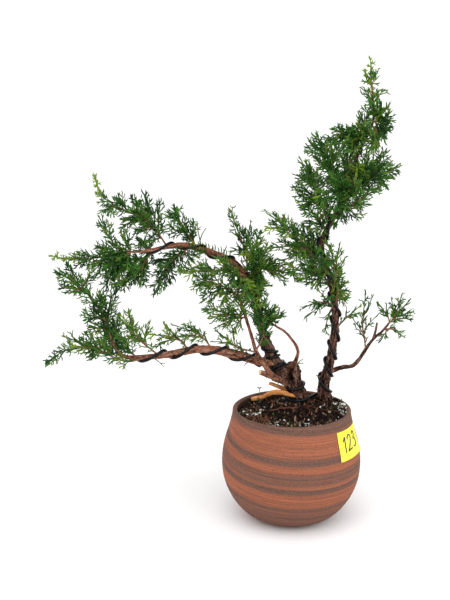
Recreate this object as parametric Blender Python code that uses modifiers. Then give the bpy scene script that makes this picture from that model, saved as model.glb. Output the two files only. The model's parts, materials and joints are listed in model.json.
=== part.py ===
"""Juniper bonsai in a round clay pot: two wired trunks, their boughs and the masses of foliage.

Metres, +Z up. The origin is the middle of the pot's flat underside. X runs along the
spread of the tree, and -Y is the side that the tree is looked at from.
"""

import bisect
import math
import random
from collections import namedtuple

import bmesh
import bpy
import numpy as np
from mathutils import Matrix, Vector

MM = 0.001
GAP = 0.3 * MM  # clearance between neighbouring pieces
SHARP_ANGLE = math.radians(40)  # edges sharper than this stay crisp where a piece is shaded smooth

POT_HEIGHT = 91 * MM
POT_WALL = 3.6 * MM
POT_FLOOR = 6 * MM
POT_STEPS = 32
POT_ROW_STEP = 14 * MM
# Outer radius of the pot against height, both in millimetres, from the rim down to the foot.
POT_OUTSIDE = [
    (47.8, 90), (48.2, 86), (50.6, 76), (54.2, 64), (56.3, 50),
    (55.4, 36), (51.6, 24), (45.0, 13), (37.0, 5), (29.0, 0.6),
]
POT_FOOT = 27.5 * MM
RIM_CROWN = 0.6  # how far the rounded rim rises above the pot's height, as a share of half its wall
FLOOR_REACH = 0.6  # radius of the pot's flat floor inside, as a share of its foot

SOIL_EDGE = 85 * MM  # height of the soil at the pot's wall
SOIL_RINGS = 4
SOIL_FREE = 80 * MM  # above this the soil's side stands straight up, clear of the wall
SOIL_FOOT = 0.55  # radius of the soil's flat underside, as a share of the pot's foot
GROUND = 92 * MM  # height of the flat mound that both trunks stand on
MOUND_CENTRE = (17 * MM, 12 * MM)
MOUND_REACH = (25 * MM, 14 * MM)  # half axes of its flat top
MOUND_FALL = 16 * MM

LABEL_WIDTH = 33 * MM
LABEL_HEIGHT = 22.3 * MM
LABEL_THICK = 0.4 * MM
LABEL_TURN = math.radians(-30)  # round the pot, from +X towards the front
LABEL_TILT = math.radians(1.6)
LABEL_MIDDLE = 71.4 * MM
LABEL_GRID = (8, 5)  # squares across and up that let it follow the pot

ROUTE_STEP = 8 * MM  # spacing of the rings of a limb
THICKEST = "left_trunk"  # the one limb that takes a finer section
FINE_SECTION = 4  # bevel resolution of its tube
LIMB_SECTION = 2  # and of the other limbs' tubes
WIRE_SECTION = 1
TURN_POINTS = 8  # points to one turn of wire
WIRE_THICK = 2.4 * MM
WIRE_THIN = 2.0 * MM

SPRAY_SPACING = 7 * MM  # along a feather of foliage
SPRAY_SLANT = math.radians(42)
SLANT_SWAY = 0.15  # how much the slants vary, as a share
SPRAY_DEPTH = 0.8  # how far sprays reach to the front and the back, against the sides
SPRAY_WIDTH = 0.27  # half width of a spray at its widest, as a share of its length
SPRAY_WIDEST = 0.35  # where it is widest, as a share of its length
SPRAY_FLATNESS = 0.5
SPRAY_SIZES = (1.6, 2.1)  # least and greatest length of a spray, as a share of its mass's spread
SPRAY_TRIES = (1.0, 0.75, 0.55)  # shares of its length that are tried where there is less room
BARE_SHARE = 0.16  # share of a feather at its root that carries no sprays
END_SINK = 2 * MM  # how far the last spray is sunk into the end of its feather
END_LEAD = 4 * MM  # how far a stem at a limb's very end runs straight on before it bends
TWIG_STEP = 18 * MM
TWIG_THICK = 0.9 * MM
TWIG_THIN = 0.45 * MM
SIDE_TWIG = 0.8  # thickness of a side feather against that of the stem
SIDE_LEAD = 0.35  # how long a side feather keeps to the way that it leaves in, as a share of its reach
FORK_STEP = 0.6  # how much further back each later side feather forks, so that no two share a root
STEM_NUDGES = (0, 2, -2, 4, -4, 6, -6, 8, -8, 10, -10)  # millimetres that a stem may move to be clear
GOLDEN_TURN = math.radians(137.5)
BALL_STEP = 1.0 * MM  # spacing of the balls that room is measured with

# Each limb's route: x, y, z and radius in millimetres at its root, its bends and its tip.
LIMB_ROUTES = {
    "left_trunk": [
        (7, 12, 88, 8.6), (7, 12, 94, 7.5), (5, 12, 100, 6.7), (2, 10, 111, 6.7), (0, 9, 119, 6.9),
        (0, 9, 124.5, 5.6), (0, 9, 128, 3.6),
    ],
    "right_trunk": [
        (28, 13, 88, 6.8), (28, 13, 94, 5.7), (27, 12, 101, 4.9), (27, 11, 110, 4.4),
        (31.2, 9, 129, 3.5), (34.2, 10, 149, 3.0), (34.6, 12, 170, 2.7), (30, 11, 195, 2.3),
        (22, 7, 223, 2.1), (30, 6, 244, 2.0), (43, 8, 267, 1.7), (48, 7, 293, 1.3),
        (58, 5, 316, 1.0), (59.5, 5, 331, 0.8),
    ],
    "upper_bough": [
        (1, 10, 112, 6.1), (-5, 9, 117.5, 6.0), (-10, 8, 122, 5.6), (-15, 8, 130, 4.9),
        (-19, 9, 140, 4.2), (-23, 11, 149, 3.6), (-28, 15, 170, 3.3), (-32, 16, 190, 3.1),
        (-40, 14, 201, 2.9),
    ],
    "far_bough": [
        (-38.5, 14.3, 199.5, 2.7), (-48, 12, 209, 2.8), (-60, 10, 215, 2.7), (-83, 8, 223, 2.3),
        (-97, 5, 223, 2.0), (-110, 1, 221, 1.8), (-123, -4, 220, 1.0),
    ],
    "lower_bough": [
        (-13, 8, 126, 3.7), (-23, 4, 129, 3.4), (-34, -1, 133, 3.3), (-48, -7, 139, 3.1),
        (-62, -11, 143, 2.9), (-78, -14, 144, 2.8), (-105, -20, 141, 2.3), (-128, -22, 140, 1.6),
        (-138, -22, 144, 1.3),
    ],
    "right_bough": [
        (31, 9.5, 119, 1.9), (41, 11, 122, 1.7), (49, 14, 122, 1.6), (55, 17, 126, 1.5),
        (66, 22, 141, 1.1), (75, 24, 149, 0.95), (80, 25, 155, 0.8),
    ],
    "base_branch": [
        (-4, 9, 110, 2.9), (-9, 6, 113, 2.9), (-14, 2, 116, 2.6), (-20, -2, 124, 1.9),
        (-29, -5, 140, 1.4), (-33, -6, 153, 1.2), (-42, -9, 183, 1.0), (-44, -9, 189, 0.9),
        (-38, -8, 202, 0.8),
    ],
    "pruned_stub": [
        (-11, 4.5, 114.5, 2.2), (-19, -1, 119, 2.2), (-26, -5, 123, 1.8),
    ],
    "curved_branch": [
        (1, 9, 122, 2.0), (4, 9, 130, 1.5), (5, 8, 136, 1.2), (3, 7, 142, 1.1), (-1, 5, 148, 1.0),
        (-6, 3, 154, 0.9), (-13, 1, 159, 0.8), (-17, 0, 162, 0.7),
    ],
    "peeled_root": [
        (5, 9, 98, 1.5), (-1.5, 4.5, 100.6, 1.5), (-7.5, 5.5, 102.4, 1.9), (-15, 11.5, 100.3, 1.9),
        (-22.5, 19, 94.2, 1.7), (-31.5, 24, 90.4, 1.7),
    ],
    "short_root": [
        (2, 13, 101.4, 1.2), (-7, 14, 103.6, 1.3), (-17.5, 17, 106.6, 1.0),
    ],
}
LIMB_PARENTS = {
    "upper_bough": ["left_trunk"],
    "far_bough": ["upper_bough"],
    "lower_bough": ["upper_bough"],
    "right_bough": ["right_trunk"],
    "base_branch": ["left_trunk", "upper_bough"],
    "pruned_stub": ["base_branch"],
    "curved_branch": ["left_trunk"],
    "peeled_root": ["left_trunk"],
    "short_root": ["left_trunk"],
}

# Each winding as rows of an angle in degrees and a length along its limb in millimetres.
BASE_WINDING = [
    (-140, 21.5), (-90, 21.5), (-45, 21.2), (0, 20), (45, 20), (90, 19.5), (140, 18.5),
    (190, 16.5), (240, 12.5), (300, 9.4), (360, 7.4), (400, 7),
]
# Each coil: its wire's thickness, then where it starts along the limb in millimetres, its first
# angle in degrees, its turns as (pitch in millimetres, count) and how much steeper its fronts are.
Coil = namedtuple("Coil", "thick start angle turns steep")
COILS = {
    "right_trunk": Coil(WIRE_THICK, 10, -170, [(14, 1), (15, 2), (20, 2), (24, 1.5), (20, 3)], 0.7),
    "upper_bough": Coil(WIRE_THIN, 28.5, 60, [(3.1, 2.6), (22, 2.9)], 0.5),
    "far_bough": Coil(WIRE_THIN, 6, -100, [(25, 3.1)], 0.5),
    "lower_bough": Coil(WIRE_THIN, 12, -60, [(25, 4.3)], 0.5),
}
JOINING_ROW = (-140, 9.5)  # the turn of the right trunk's coil where the base winding reaches it

# Foliage: the limb, how far along it the stem leaves, how far a feather spreads on each side,
# the points that the stem runs through up to its tip, and the side feathers, each as the share of
# the stem at which it forks and the tip that it reaches. All lengths are in millimetres.
Mass = namedtuple("Mass", "name limb along spread stem sides")
MASSES = [
    Mass(
        "crown_tip", "right_trunk", 255, 3.6, [(58, 3, 338), (56, 1, 351), (55, 0, 365)],
        [(0.04, (50, -6, 343)), (0.07, (65, 8, 341)), (0.52, (52, 2, 356))],
    ),
    Mass(
        "crown_top_right", "right_trunk", 243, 6.5, [(64, 0, 320), (68, -8, 322)],
        [(0.3, (67, 8, 311)), (0.25, (63, -10, 331)), (0.12, (61, 6, 302)), (0.06, (55, -14, 300))],
    ),
    Mass(
        "crown_top_left", "right_trunk", 229, 7, [(43, 0, 308), (32, -4, 313)],
        [(0.1, (56, 8, 327)), (0.6, (27, 8, 305)), (0.35, (39, -16, 313)), (0.12, (52, -15, 317))],
    ),
    Mass(
        "crown_left_upper", "right_trunk", 176, 7.5,
        [(31, -6, 275), (25, -10, 292), (21, -10, 301), (16, -8, 307)],
        [(0.72, (12, -4, 300)), (0.6, (33, -20, 302)), (0.45, (18, 2, 291))],
    ),
    Mass(
        "crown_right_upper", "right_trunk", 192, 7.5, [(51, -2, 273), (58, -6, 279), (75, -6, 285)],
        [(0.45, (68, 6, 295)), (0.5, (70, 6, 272)), (0.15, (52, -14, 292)), (0.3, (61, 14, 285))],
    ),
    Mass(
        "crown_left_middle", "right_trunk", 156, 8,
        [(23, 2, 251), (18, -2, 263), (13, -4, 278), (6, -6, 288)],
        [(0.4, (3, 6, 268)), (0.28, (5, -12, 261)), (0.65, (6, 4, 277))],
    ),
    Mass(
        "crown_right_middle", "right_trunk", 172, 7, [(42, -8, 257), (51, -8, 263), (64, -2, 270)],
        [(0.15, (48, 0, 248)), (0.35, (52, 10, 256)), (0.08, (32, -8, 245))],
    ),
    Mass(
        "crown_left_lower", "right_trunk", 151, 7, [(19, -4, 244), (14, -6, 250), (8, -8, 254)],
        [(0.3, (12, 6, 241)), (0.35, (19, -18, 260))],
    ),
    Mass(
        "crown_front", "right_trunk", 182, 9, [(36, -16, 270), (27, -28, 279)],
        [(0.4, (43, -28, 274)), (0.2, (30, -28, 260)), (0.6, (18, -26, 267))],
    ),
    Mass(
        "crown_back", "right_trunk", 206, 9, [(45, 26, 279), (43, 40, 287)],
        [(0.4, (59, 36, 280)), (0.3, (32, 34, 272)), (0.2, (43, 34, 260)), (0.5, (47, 30, 299))],
    ),
    Mass(
        "inner_upper", "right_trunk", 122, 7,
        [(16, 2, 215), (7, -2, 226), (-5, -4, 238), (-18, -2, 248)],
        [(0.55, (-5, 6, 242)), (0.35, (7, 6, 236)), (0.35, (-15, -4, 224)), (0.15, (16, 14, 228))],
    ),
    Mass(
        "inner_front", "right_trunk", 114, 7, [(18, -8, 205), (8, -16, 207), (-3, -18, 209)],
        [(0.25, (7, -8, 200)), (0.15, (17, -2, 195)), (0.4, (4, -24, 218)), (0.1, (19, -22, 217))],
    ),
    Mass(
        "inner_back", "right_trunk", 130, 10, [(14, 24, 215), (6, 36, 219)],
        [(0.4, (20, 34, 200)), (0.4, (23, 30, 225))],
    ),
    Mass(
        "trunk_right_upper", "right_trunk", 98, 3.4, [(32, -2, 196), (31, -4, 212), (25, -6, 228)],
        [(0.45, (35, 0, 221)), (0.4, (38, 2, 210)), (0.55, (21, -14, 222))],
    ),
    Mass(
        "trunk_right_lower", "right_trunk", 88, 3, [(35, 4, 186), (36, 5, 195), (36, 4, 203)],
        [(0.35, (40, 8, 190)), (0.08, (42, 8, 180))],
    ),
    Mass(
        "trunk_left", "right_trunk", 86, 3.6, [(25, 0, 179), (17, -4, 179), (10, -6, 177)],
        [(0.4, (13, -4, 170)), (0.12, (21, -6, 188)), (0.02, (28, -12, 186)), (0.03, (25, -8, 160))],
    ),
    Mass(
        "trunk_back", "right_trunk", 97, 9, [(35, 24, 185), (39, 34, 193)],
        [(0.4, (42, 30, 177)), (0.4, (30, 32, 190))],
    ),
    Mass(
        "trunk_shoot", "right_trunk", 69, 2.2, [(43, 6, 165), (46, 5, 168), (51, 4, 173)],
        [(0.5, (51, 8, 167))],
    ),
    Mass(
        "right_rise", "right_bough", 39, 3,
        [(60, 20, 144), (58, 18, 155), (58, 16, 167), (59, 16, 179)],
        [(0.25, (50, 12, 161)), (0.3, (68, 24, 160)), (0.6, (64, 20, 175))],
    ),
    Mass(
        "right_tip", "right_bough", 66, 4.4, [(83, 24, 159), (86, 22, 167), (88, 20, 176)],
        [(0.25, (96, 28, 163)), (0.4, (92, 18, 172)), (0.3, (83, 26, 171)), (0.06, (74, 30, 168))],
    ),
    Mass(
        "right_low", "right_bough", 61, 2.4, [(85, 30, 149), (92, 33, 144)],
        [(0.1, (74, 22, 144))],
    ),
    Mass(
        "centre_tall", "upper_bough", 98, 5.6,
        [(-37, 8, 214), (-41, 6, 227), (-45, 5, 238), (-49, 4, 249)],
        [(0.35, (-35, 10, 236)), (0.3, (-45, -4, 222))],
    ),
    Mass(
        "centre_top", "upper_bough", 90, 7.5, [(-30, -4, 207), (-26, -8, 217), (-21, -10, 223)],
        [(0.4, (-29, -6, 233)), (0.3, (-35, -16, 228)), (0.5, (-21, 4, 212)), (0.08, (-30, -20, 193))],
    ),
    Mass(
        "centre_right", "upper_bough", 95, 6.5, [(-25, 4, 206), (-12, 0, 204), (0, -4, 203)],
        [(0.4, (-10, -8, 199)), (0.3, (-11, 2, 208)), (0.15, (-26, -10, 198))],
    ),
    Mass(
        "centre_left_long", "base_branch", 92, 7.5, [(-52, -12, 193), (-64, -18, 198), (-75, -22, 197)],
        [
            (0.55, (-75, -14, 202)), (0.3, (-68, -14, 186)), (0.15, (-56, -26, 187)),
            (0.12, (-44, -20, 183)),
        ],
    ),
    Mass(
        "centre_left_low", "base_branch", 73, 5.5, [(-49, -12, 171), (-59, -16, 176), (-68, -18, 177)],
        [
            (0.4, (-63, -10, 169)), (0.15, (-56, -8, 163)), (0.25, (-52, -22, 183)),
            (0.1, (-39, -22, 181)),
        ],
    ),
    Mass(
        "centre_right_low", "base_branch", 45, 4.8,
        [(-26, -8, 148), (-23, -10, 158), (-19, -12, 168), (-16, -12, 175)],
        [(0.7, (-11, -8, 170)), (0.6, (-23, -16, 181)), (0.5, (-30, -18, 171))],
    ),
    Mass(
        "centre_back", "upper_bough", 78, 10, [(-34, 30, 181), (-38, 44, 171)],
        [(0.4, (-24, 36, 185)), (0.4, (-43, 36, 191))],
    ),
    Mass(
        "centre_front", "base_branch", 109, 7.5,
        [(-49, -12, 207), (-64, -16, 208), (-77, -19, 208), (-88, -20, 208)],
        [
            (0.2, (-56, -20, 214)), (0.5, (-70, -10, 209)), (0.08, (-38, -28, 194)),
            (0.06, (-31, -26, 185)),
        ],
    ),
    Mass(
        "low_shoots", "base_branch", 43, 2.4, [(-38, -10, 143), (-46, -12, 146), (-58, -12, 157)],
        [(0.5, (-48, -14, 157)), (0.6, (-60, -8, 149))],
    ),
    Mass(
        "bough_spray", "far_bough", 46, 6.5, [(-83, 10, 231), (-89, 8, 242), (-92, 8, 250)],
        [(0.35, (-97, 2, 237)), (0.65, (-97, 12, 247)), (0.05, (-79, 14, 238))],
    ),
    Mass(
        "bough_droop", "far_bough", 50, 7.5,
        [(-92, 2, 216), (-100, 0, 207), (-105, 0, 197), (-108, 0, 189)],
        [(0.1, (-78, -6, 217)), (0.2, (-86, -6, 210)), (0.35, (-101, 8, 194)), (0.15, (-107, 10, 209))],
    ),
    Mass(
        "left_top", "far_bough", 69, 6,
        [
            (-109, 4, 237), (-122, 2, 247), (-135, 0, 254), (-146, -2, 261), (-151, -3, 268),
            (-153, -4, 278),
        ],
        [
            (0.3, (-124, -10, 261)), (0.35, (-133, 8, 239)), (0.12, (-105, 10, 254)),
            (0.2, (-121, -8, 238)),
        ],
    ),
    Mass(
        "left_out", "far_bough", 99, 8,
        [(-135, -8, 221), (-147, -10, 218), (-160, -11, 216), (-173, -12, 216), (-186, -12, 218)],
        [
            (0.15, (-150, 2, 243)), (0.25, (-151, -18, 212)), (0.12, (-145, -12, 196)),
            (0.25, (-152, 0, 223)),
        ],
    ),
    Mass(
        "left_back", "far_bough", 78, 8.5, [(-119, 14, 209), (-129, 22, 197), (-138, 18, 187)],
        [(0.3, (-121, 4, 196)), (0.3, (-137, 34, 205)), (0.1, (-122, 24, 223))],
    ),
    Mass(
        "low_column", "lower_bough", 133, 6.8,
        [
            (-142, -22, 154), (-145, -24, 167), (-150, -26, 180), (-158, -28, 191), (-166, -28, 199),
            (-178, -30, 208),
        ],
        [
            (0.75, (-156, -20, 204)), (0.7, (-174, -36, 198)), (0.35, (-159, -34, 177)),
            (0.3, (-140, -16, 188)),
        ],
    ),
    Mass(
        "low_tip", "lower_bough", 112, 5.6,
        [
            (-129, -26, 138), (-140, -28, 142), (-152, -29, 148), (-165, -30, 150), (-179, -30, 147),
            (-190, -30, 138),
        ],
        [(0.5, (-175, -22, 156)), (0.4, (-158, -34, 160)), (0.42, (-159, -20, 141))],
    ),
    Mass(
        "low_back", "lower_bough", 118, 8.5, [(-134, -6, 145), (-145, 6, 151)],
        [(0.4, (-156, 8, 143))],
    ),
    Mass(
        "low_fan", "lower_bough", 101, 4.8,
        [(-111, -24, 147), (-117, -26, 153), (-124, -28, 162), (-127, -28, 175)],
        [(0.35, (-114, -20, 164)), (0.5, (-133, -34, 174)), (0.4, (-134, -34, 159))],
    ),
    Mass(
        "low_rise_left", "lower_bough", 77, 3.1, [(-88, -18, 152), (-94, -20, 158), (-99, -20, 165)],
        [(0.45, (-108, -26, 159)), (0.4, (-108, -14, 148))],
    ),
    Mass(
        "low_rise_right", "lower_bough", 59, 3, [(-70, -12, 152), (-76, -12, 158), (-81, -12, 162)],
        [(0.5, (-90, -8, 161)), (0.4, (-89, -16, 155))],
    ),
]
# Each material's colour, roughness and how metallic it is.
SURFACES = {
    "marbled_clay": ((0.31, 0.145, 0.095), 0.85, 0.0),
    "soil": ((0.055, 0.042, 0.035), 0.95, 0.0),
    "yellow_paper": ((0.93, 0.86, 0.05), 0.6, 0.0),
    "bark": ((0.19, 0.115, 0.085), 0.9, 0.0),
    "peeled_root": ((0.62, 0.34, 0.13), 0.75, 0.0),
    "black_wire": ((0.02, 0.02, 0.024), 0.35, 0.6),
    "fresh_green": ((0.135, 0.22, 0.055), 0.6, 0.0),
    "leafy_green": ((0.07, 0.135, 0.038), 0.6, 0.0),
    "deep_green": ((0.035, 0.075, 0.028), 0.6, 0.0),
}
# The greens that are dealt to the masses in turn.
GREEN_ORDER = ("leafy_green", "deep_green", "fresh_green", "leafy_green", "deep_green")


def clear_scene():
    for obj in list(bpy.data.objects):
        bpy.data.objects.remove(obj, do_unlink=True)


def new_collection(name):
    collection = bpy.data.collections.new(name)
    bpy.context.scene.collection.children.link(collection)
    return collection


def new_material(name, colour, roughness, metallic):
    material = bpy.data.materials.new(name)
    material.use_nodes = True
    shader = material.node_tree.nodes["Principled BSDF"]
    shader.inputs["Base Color"].default_value = (*colour, 1.0)
    shader.inputs["Roughness"].default_value = roughness
    shader.inputs["Metallic"].default_value = metallic
    return material


def finish(obj, collection, material=None):
    """Puts a made piece in its collection, smooth where it is round."""
    for old in list(obj.users_collection):
        old.objects.unlink(obj)
    collection.objects.link(obj)
    if material is not None:
        obj.data.materials.clear()
        obj.data.materials.append(material)
        obj.data.shade_smooth()
        obj.data.set_sharp_from_angle(angle=SHARP_ANGLE)
    return obj


def as_mesh(source, name, weld=True):
    """A mesh object of what the source evaluates to, a curve's caps welded; the source goes."""
    if not source.users_collection:
        bpy.context.scene.collection.objects.link(source)
    bpy.context.view_layer.update()
    graph = bpy.context.evaluated_depsgraph_get()
    mesh = bpy.data.meshes.new_from_object(source.evaluated_get(graph))
    if weld:
        shape = bmesh.new()
        shape.from_mesh(mesh)
        bmesh.ops.remove_doubles(shape, verts=shape.verts, dist=0.01 * MM)
        bmesh.ops.recalc_face_normals(shape, faces=shape.faces)
        shape.to_mesh(mesh)
        shape.free()
    made = bpy.data.objects.new(name, mesh)
    made.matrix_world = source.matrix_world
    bpy.data.objects.remove(source, do_unlink=True)
    bpy.context.scene.collection.objects.link(made)
    made.name = name
    return made


def tube(name, centres, radii, resolution=LIMB_SECTION, section=None):
    """A tapering tube along the centres, round or with the section curve's outline."""
    curve = bpy.data.curves.new(name, "CURVE")
    curve.dimensions = "3D"
    curve.use_fill_caps = True
    if section is None:
        curve.bevel_depth = 1.0
        curve.bevel_resolution = resolution
    else:
        curve.bevel_mode = "OBJECT"
        curve.bevel_object = section
    spline = curve.splines.new("POLY")
    spline.points.add(len(centres) - 1)
    for point, centre, radius in zip(spline.points, centres, radii):
        point.co = (*centre, 1.0)
        point.radius = radius
    return as_mesh(bpy.data.objects.new(name, curve), name)


def smooth_rows(rows, spacing):
    """Rows of numbers read from a smooth curve through the given ones, about this far apart."""
    given = np.array(rows, float)
    given = np.vstack([2 * given[0] - given[1], given, 2 * given[-1] - given[-2]])
    made = []
    for before, here, there, after in zip(given, given[1:], given[2:], given[3:]):
        count = max(1, round(np.linalg.norm((there - here)[:3]) / spacing))
        for step in range(count):
            t = step / count
            made.append(
                0.5
                * (
                    2 * here
                    + (there - before) * t
                    + (2 * before - 5 * here + 4 * there - after) * t**2
                    + (3 * here - before - 3 * there + after) * t**3
                )
            )
    made.append(given[-2])
    return np.array(made)


class Limb:
    """One limb's centre line and thickness, read by the distance from its root."""

    def __init__(self, route):
        fine = smooth_rows(route, 1.0) * MM
        self.centres = [Vector(row[:3]) for row in fine]
        self.radii = [row[3] for row in fine]
        self.lengths = [0.0]
        for here, there in zip(self.centres, self.centres[1:]):
            self.lengths.append(self.lengths[-1] + (there - here).length)

    @property
    def length(self):
        return self.lengths[-1]

    def at(self, length):
        """The centre, the direction and the radius this far from the root."""
        length = min(max(length, 0.0), self.length)
        index = min(max(bisect.bisect(self.lengths, length), 1), len(self.lengths) - 1)
        share = (length - self.lengths[index - 1]) / (self.lengths[index] - self.lengths[index - 1])
        centre = self.centres[index - 1].lerp(self.centres[index], share)
        radius = self.radii[index - 1] + share * (self.radii[index] - self.radii[index - 1])
        ahead = self.centres[min(index + 1, len(self.centres) - 1)]
        return centre, (ahead - self.centres[max(index - 2, 0)]).normalized(), radius

    def around(self, length, angle, clearance):
        """A point beside the limb, at an angle from its front towards its right going up."""
        centre, along, radius = self.at(length)
        front = (Vector((0, -1, 0)) - along * -along.y).normalized()
        side = along.cross(front)
        return centre + (math.cos(angle) * front + math.sin(angle) * side) * (radius + clearance)

    def mesh(self, name, swell=0.0, resolution=LIMB_SECTION):
        """The limb as a tube, or a swollen copy of it that cuts its seat in a neighbour."""
        count = max(2, round(self.length / ROUTE_STEP))
        stations = [self.length * step / count for step in range(count + 1)]
        rings = [self.at(station) for station in stations]
        centres = [ring[0] for ring in rings]
        centres[0] = centres[0] - rings[0][1] * swell
        centres[-1] = centres[-1] + rings[-1][1] * swell
        return tube(name, centres, [ring[2] + swell for ring in rings], resolution)


class Taken:
    """Balls along everything that is placed, each with its owner, so that what comes later keeps clear."""

    def __init__(self):
        self.centres = np.zeros((0, 3))
        self.radii = np.zeros(0)
        self.owners = np.array([], dtype="U30")

    def add(self, centres, radii, owner=""):
        self.centres = np.vstack([self.centres, np.array(centres)])
        self.radii = np.concatenate([self.radii, np.array(radii)])
        self.owners = np.concatenate([self.owners, np.full(len(radii), owner)])

    def clears(self, centres, radii, distance, besides="nobody"):
        """Whether these balls keep the distance from all the others, besides one owner's."""
        others = self.owners != besides
        if not others.any():
            return True
        centres = np.array(centres)
        radii = np.array(radii)
        apart = np.linalg.norm(centres[:, None] - self.centres[others][None], axis=2)
        return bool((apart > radii[:, None] + self.radii[others][None] + distance).all())


def spray_balls(root, direction, length):
    """Balls inside a spray: none at its sunk root, the widest where it is widest."""
    centres, radii = [], []
    for step in range(2, 11):
        share = step / 10
        wide = share / SPRAY_WIDEST if share < SPRAY_WIDEST else (1 - share) / (1 - SPRAY_WIDEST)
        centres.append(root + direction * (length * share))
        radii.append(SPRAY_WIDTH * length * wide)
    return centres, radii


def balls_along(start, end, thick, thin):
    """Balls along a straight tapering stick."""
    count = max(2, math.ceil((end - start).length / BALL_STEP))
    shares = [step / count for step in range(count + 1)]
    centres = [start.lerp(end, share) for share in shares]
    return centres, [thick + share * (thin - thick) for share in shares]


def cut_by(obj, cutter, cutters):
    """Takes the cutter's shape out of the object, and keeps the cutter as a hidden guide."""
    finish(cutter, cutters)
    cutter.hide_render = True
    cutter.display_type = "WIRE"
    modifier = obj.modifiers.new("seat", "BOOLEAN")
    modifier.operation = "DIFFERENCE"
    modifier.object = cutter


def turned(name, profile):
    """A round piece from its profile of (radius, height), turned by a Screw modifier."""
    mesh = bpy.data.meshes.new(name)
    shape = bmesh.new()
    corners = [shape.verts.new((radius, 0.0, height)) for radius, height in profile]
    for here, there in zip(corners, corners[1:] + corners[:1]):
        if here.co.x > 0 or there.co.x > 0:
            shape.edges.new((here, there))
    shape.to_mesh(mesh)
    shape.free()
    obj = bpy.data.objects.new(name, mesh)
    screw = obj.modifiers.new("turn", "SCREW")
    screw.steps = POT_STEPS
    screw.render_steps = POT_STEPS
    screw.use_merge_vertices = True
    screw.merge_threshold = 0.01 * MM
    return obj


def pot_rows(inset, top=POT_HEIGHT):
    """The pot's outline from the top down to its floor, moved inwards by the inset."""
    rows = smooth_rows(POT_OUTSIDE, POT_ROW_STEP / MM) * MM
    return [(radius - inset, height) for radius, height in rows if 2 * POT_FLOOR < height < top]


def build_pot(parts, clay):
    """The turned pot: rounded rim, outside, flat underside, floor and inner wall."""
    rim = POT_WALL / 2
    outside = smooth_rows(POT_OUTSIDE, POT_ROW_STEP / MM) * MM
    profile = [(POT_OUTSIDE[0][0] * MM - rim, POT_HEIGHT + RIM_CROWN * rim)]
    profile += [tuple(row) for row in outside]
    profile += [(POT_FOOT, 0.0), (0.0, 0.0), (0.0, POT_FLOOR), (FLOOR_REACH * POT_FOOT, POT_FLOOR)]
    profile += reversed(pot_rows(POT_WALL))
    return finish(turned("pot", profile), parts, clay)


def pot_radius(height):
    """Outer radius of the pot at a height."""
    rows = sorted((z * MM, r * MM) for r, z in POT_OUTSIDE)
    return float(np.interp(height, [row[0] for row in rows], [row[1] for row in rows]))


def soil_height(x, y):
    """The soil's surface: level at the wall, with a flat mound under the trunks."""
    away = math.hypot((x - MOUND_CENTRE[0]) / MOUND_REACH[0], (y - MOUND_CENTRE[1]) / MOUND_REACH[1])
    beyond = max(0.0, away - 1.0) * min(MOUND_REACH) / MOUND_FALL
    rise = 0.5 + 0.5 * math.cos(math.pi * min(1.0, beyond))
    return SOIL_EDGE + (GROUND - SOIL_EDGE) * rise


def build_soil(parts, earth):
    """The soil that fills the pot, turned, with its top raised to the mound."""
    edge = pot_radius(POT_HEIGHT) - POT_WALL - 3 * GAP
    profile = [(edge * ring / SOIL_RINGS, SOIL_EDGE) for ring in range(SOIL_RINGS + 1)]
    profile += pot_rows(POT_WALL + 2 * GAP, SOIL_FREE)
    profile += [(SOIL_FOOT * POT_FOOT, POT_FLOOR + GAP), (0.0, POT_FLOOR + GAP)]
    soil = as_mesh(turned("soil", profile), "soil")
    for vertex in soil.data.vertices:
        if vertex.co.z > SOIL_EDGE - GAP:
            vertex.co.z = soil_height(vertex.co.x, vertex.co.y)
    return finish(soil, parts, earth)


def build_label(parts, paper):
    """The paper label that lies against the pot's shoulder, a little askew."""
    mesh = bpy.data.meshes.new("label")
    shape = bmesh.new()
    across_count, up_count = LABEL_GRID
    bmesh.ops.create_grid(shape, x_segments=across_count, y_segments=up_count, size=0.5)
    bmesh.ops.scale(shape, vec=(LABEL_WIDTH, LABEL_HEIGHT, 1), verts=shape.verts)
    for vert in shape.verts:
        across = vert.co.x * math.cos(LABEL_TILT) + vert.co.y * math.sin(LABEL_TILT)
        up = -vert.co.x * math.sin(LABEL_TILT) + vert.co.y * math.cos(LABEL_TILT)
        height = LABEL_MIDDLE + up
        radius = pot_radius(height) + 2 * GAP
        angle = LABEL_TURN + across / pot_radius(LABEL_MIDDLE)
        vert.co = (radius * math.cos(angle), radius * math.sin(angle), height)
    bmesh.ops.recalc_face_normals(shape, faces=shape.faces)
    shape.to_mesh(mesh)
    shape.free()
    label = bpy.data.objects.new("label", mesh)
    shell = label.modifiers.new("thickness", "SOLIDIFY")
    shell.thickness = LABEL_THICK
    shell.offset = 1.0
    return finish(label, parts, paper)


def section_of(name):
    """How finely a limb's round section is drawn."""
    return FINE_SECTION if name == THICKEST else LIMB_SECTION


def ground_block():
    """The block of ground that gives a trunk its flat foot."""
    side = 2 * MOUND_REACH[0]
    bpy.ops.mesh.primitive_cube_add(size=side, location=(*MOUND_CENTRE, GROUND + GAP - side / 2))
    ground = bpy.context.object
    ground.name = "ground"
    return ground


def build_limbs(limbs, parts, cutters, bark, peeled):
    """Every limb as a tapering tube, cut to its seat on the one that it grows from."""
    ground = ground_block()
    for name, limb in limbs.items():
        obj = limb.mesh(name, resolution=section_of(name))
        if name not in LIMB_PARENTS:
            cut_by(obj, ground, cutters)
        for parent in LIMB_PARENTS.get(name, []):
            seat = limbs[parent].mesh(name + "_seat", swell=GAP, resolution=section_of(parent))
            cut_by(obj, seat, cutters)
        finish(obj, parts, peeled if name.endswith("root") else bark)


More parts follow.
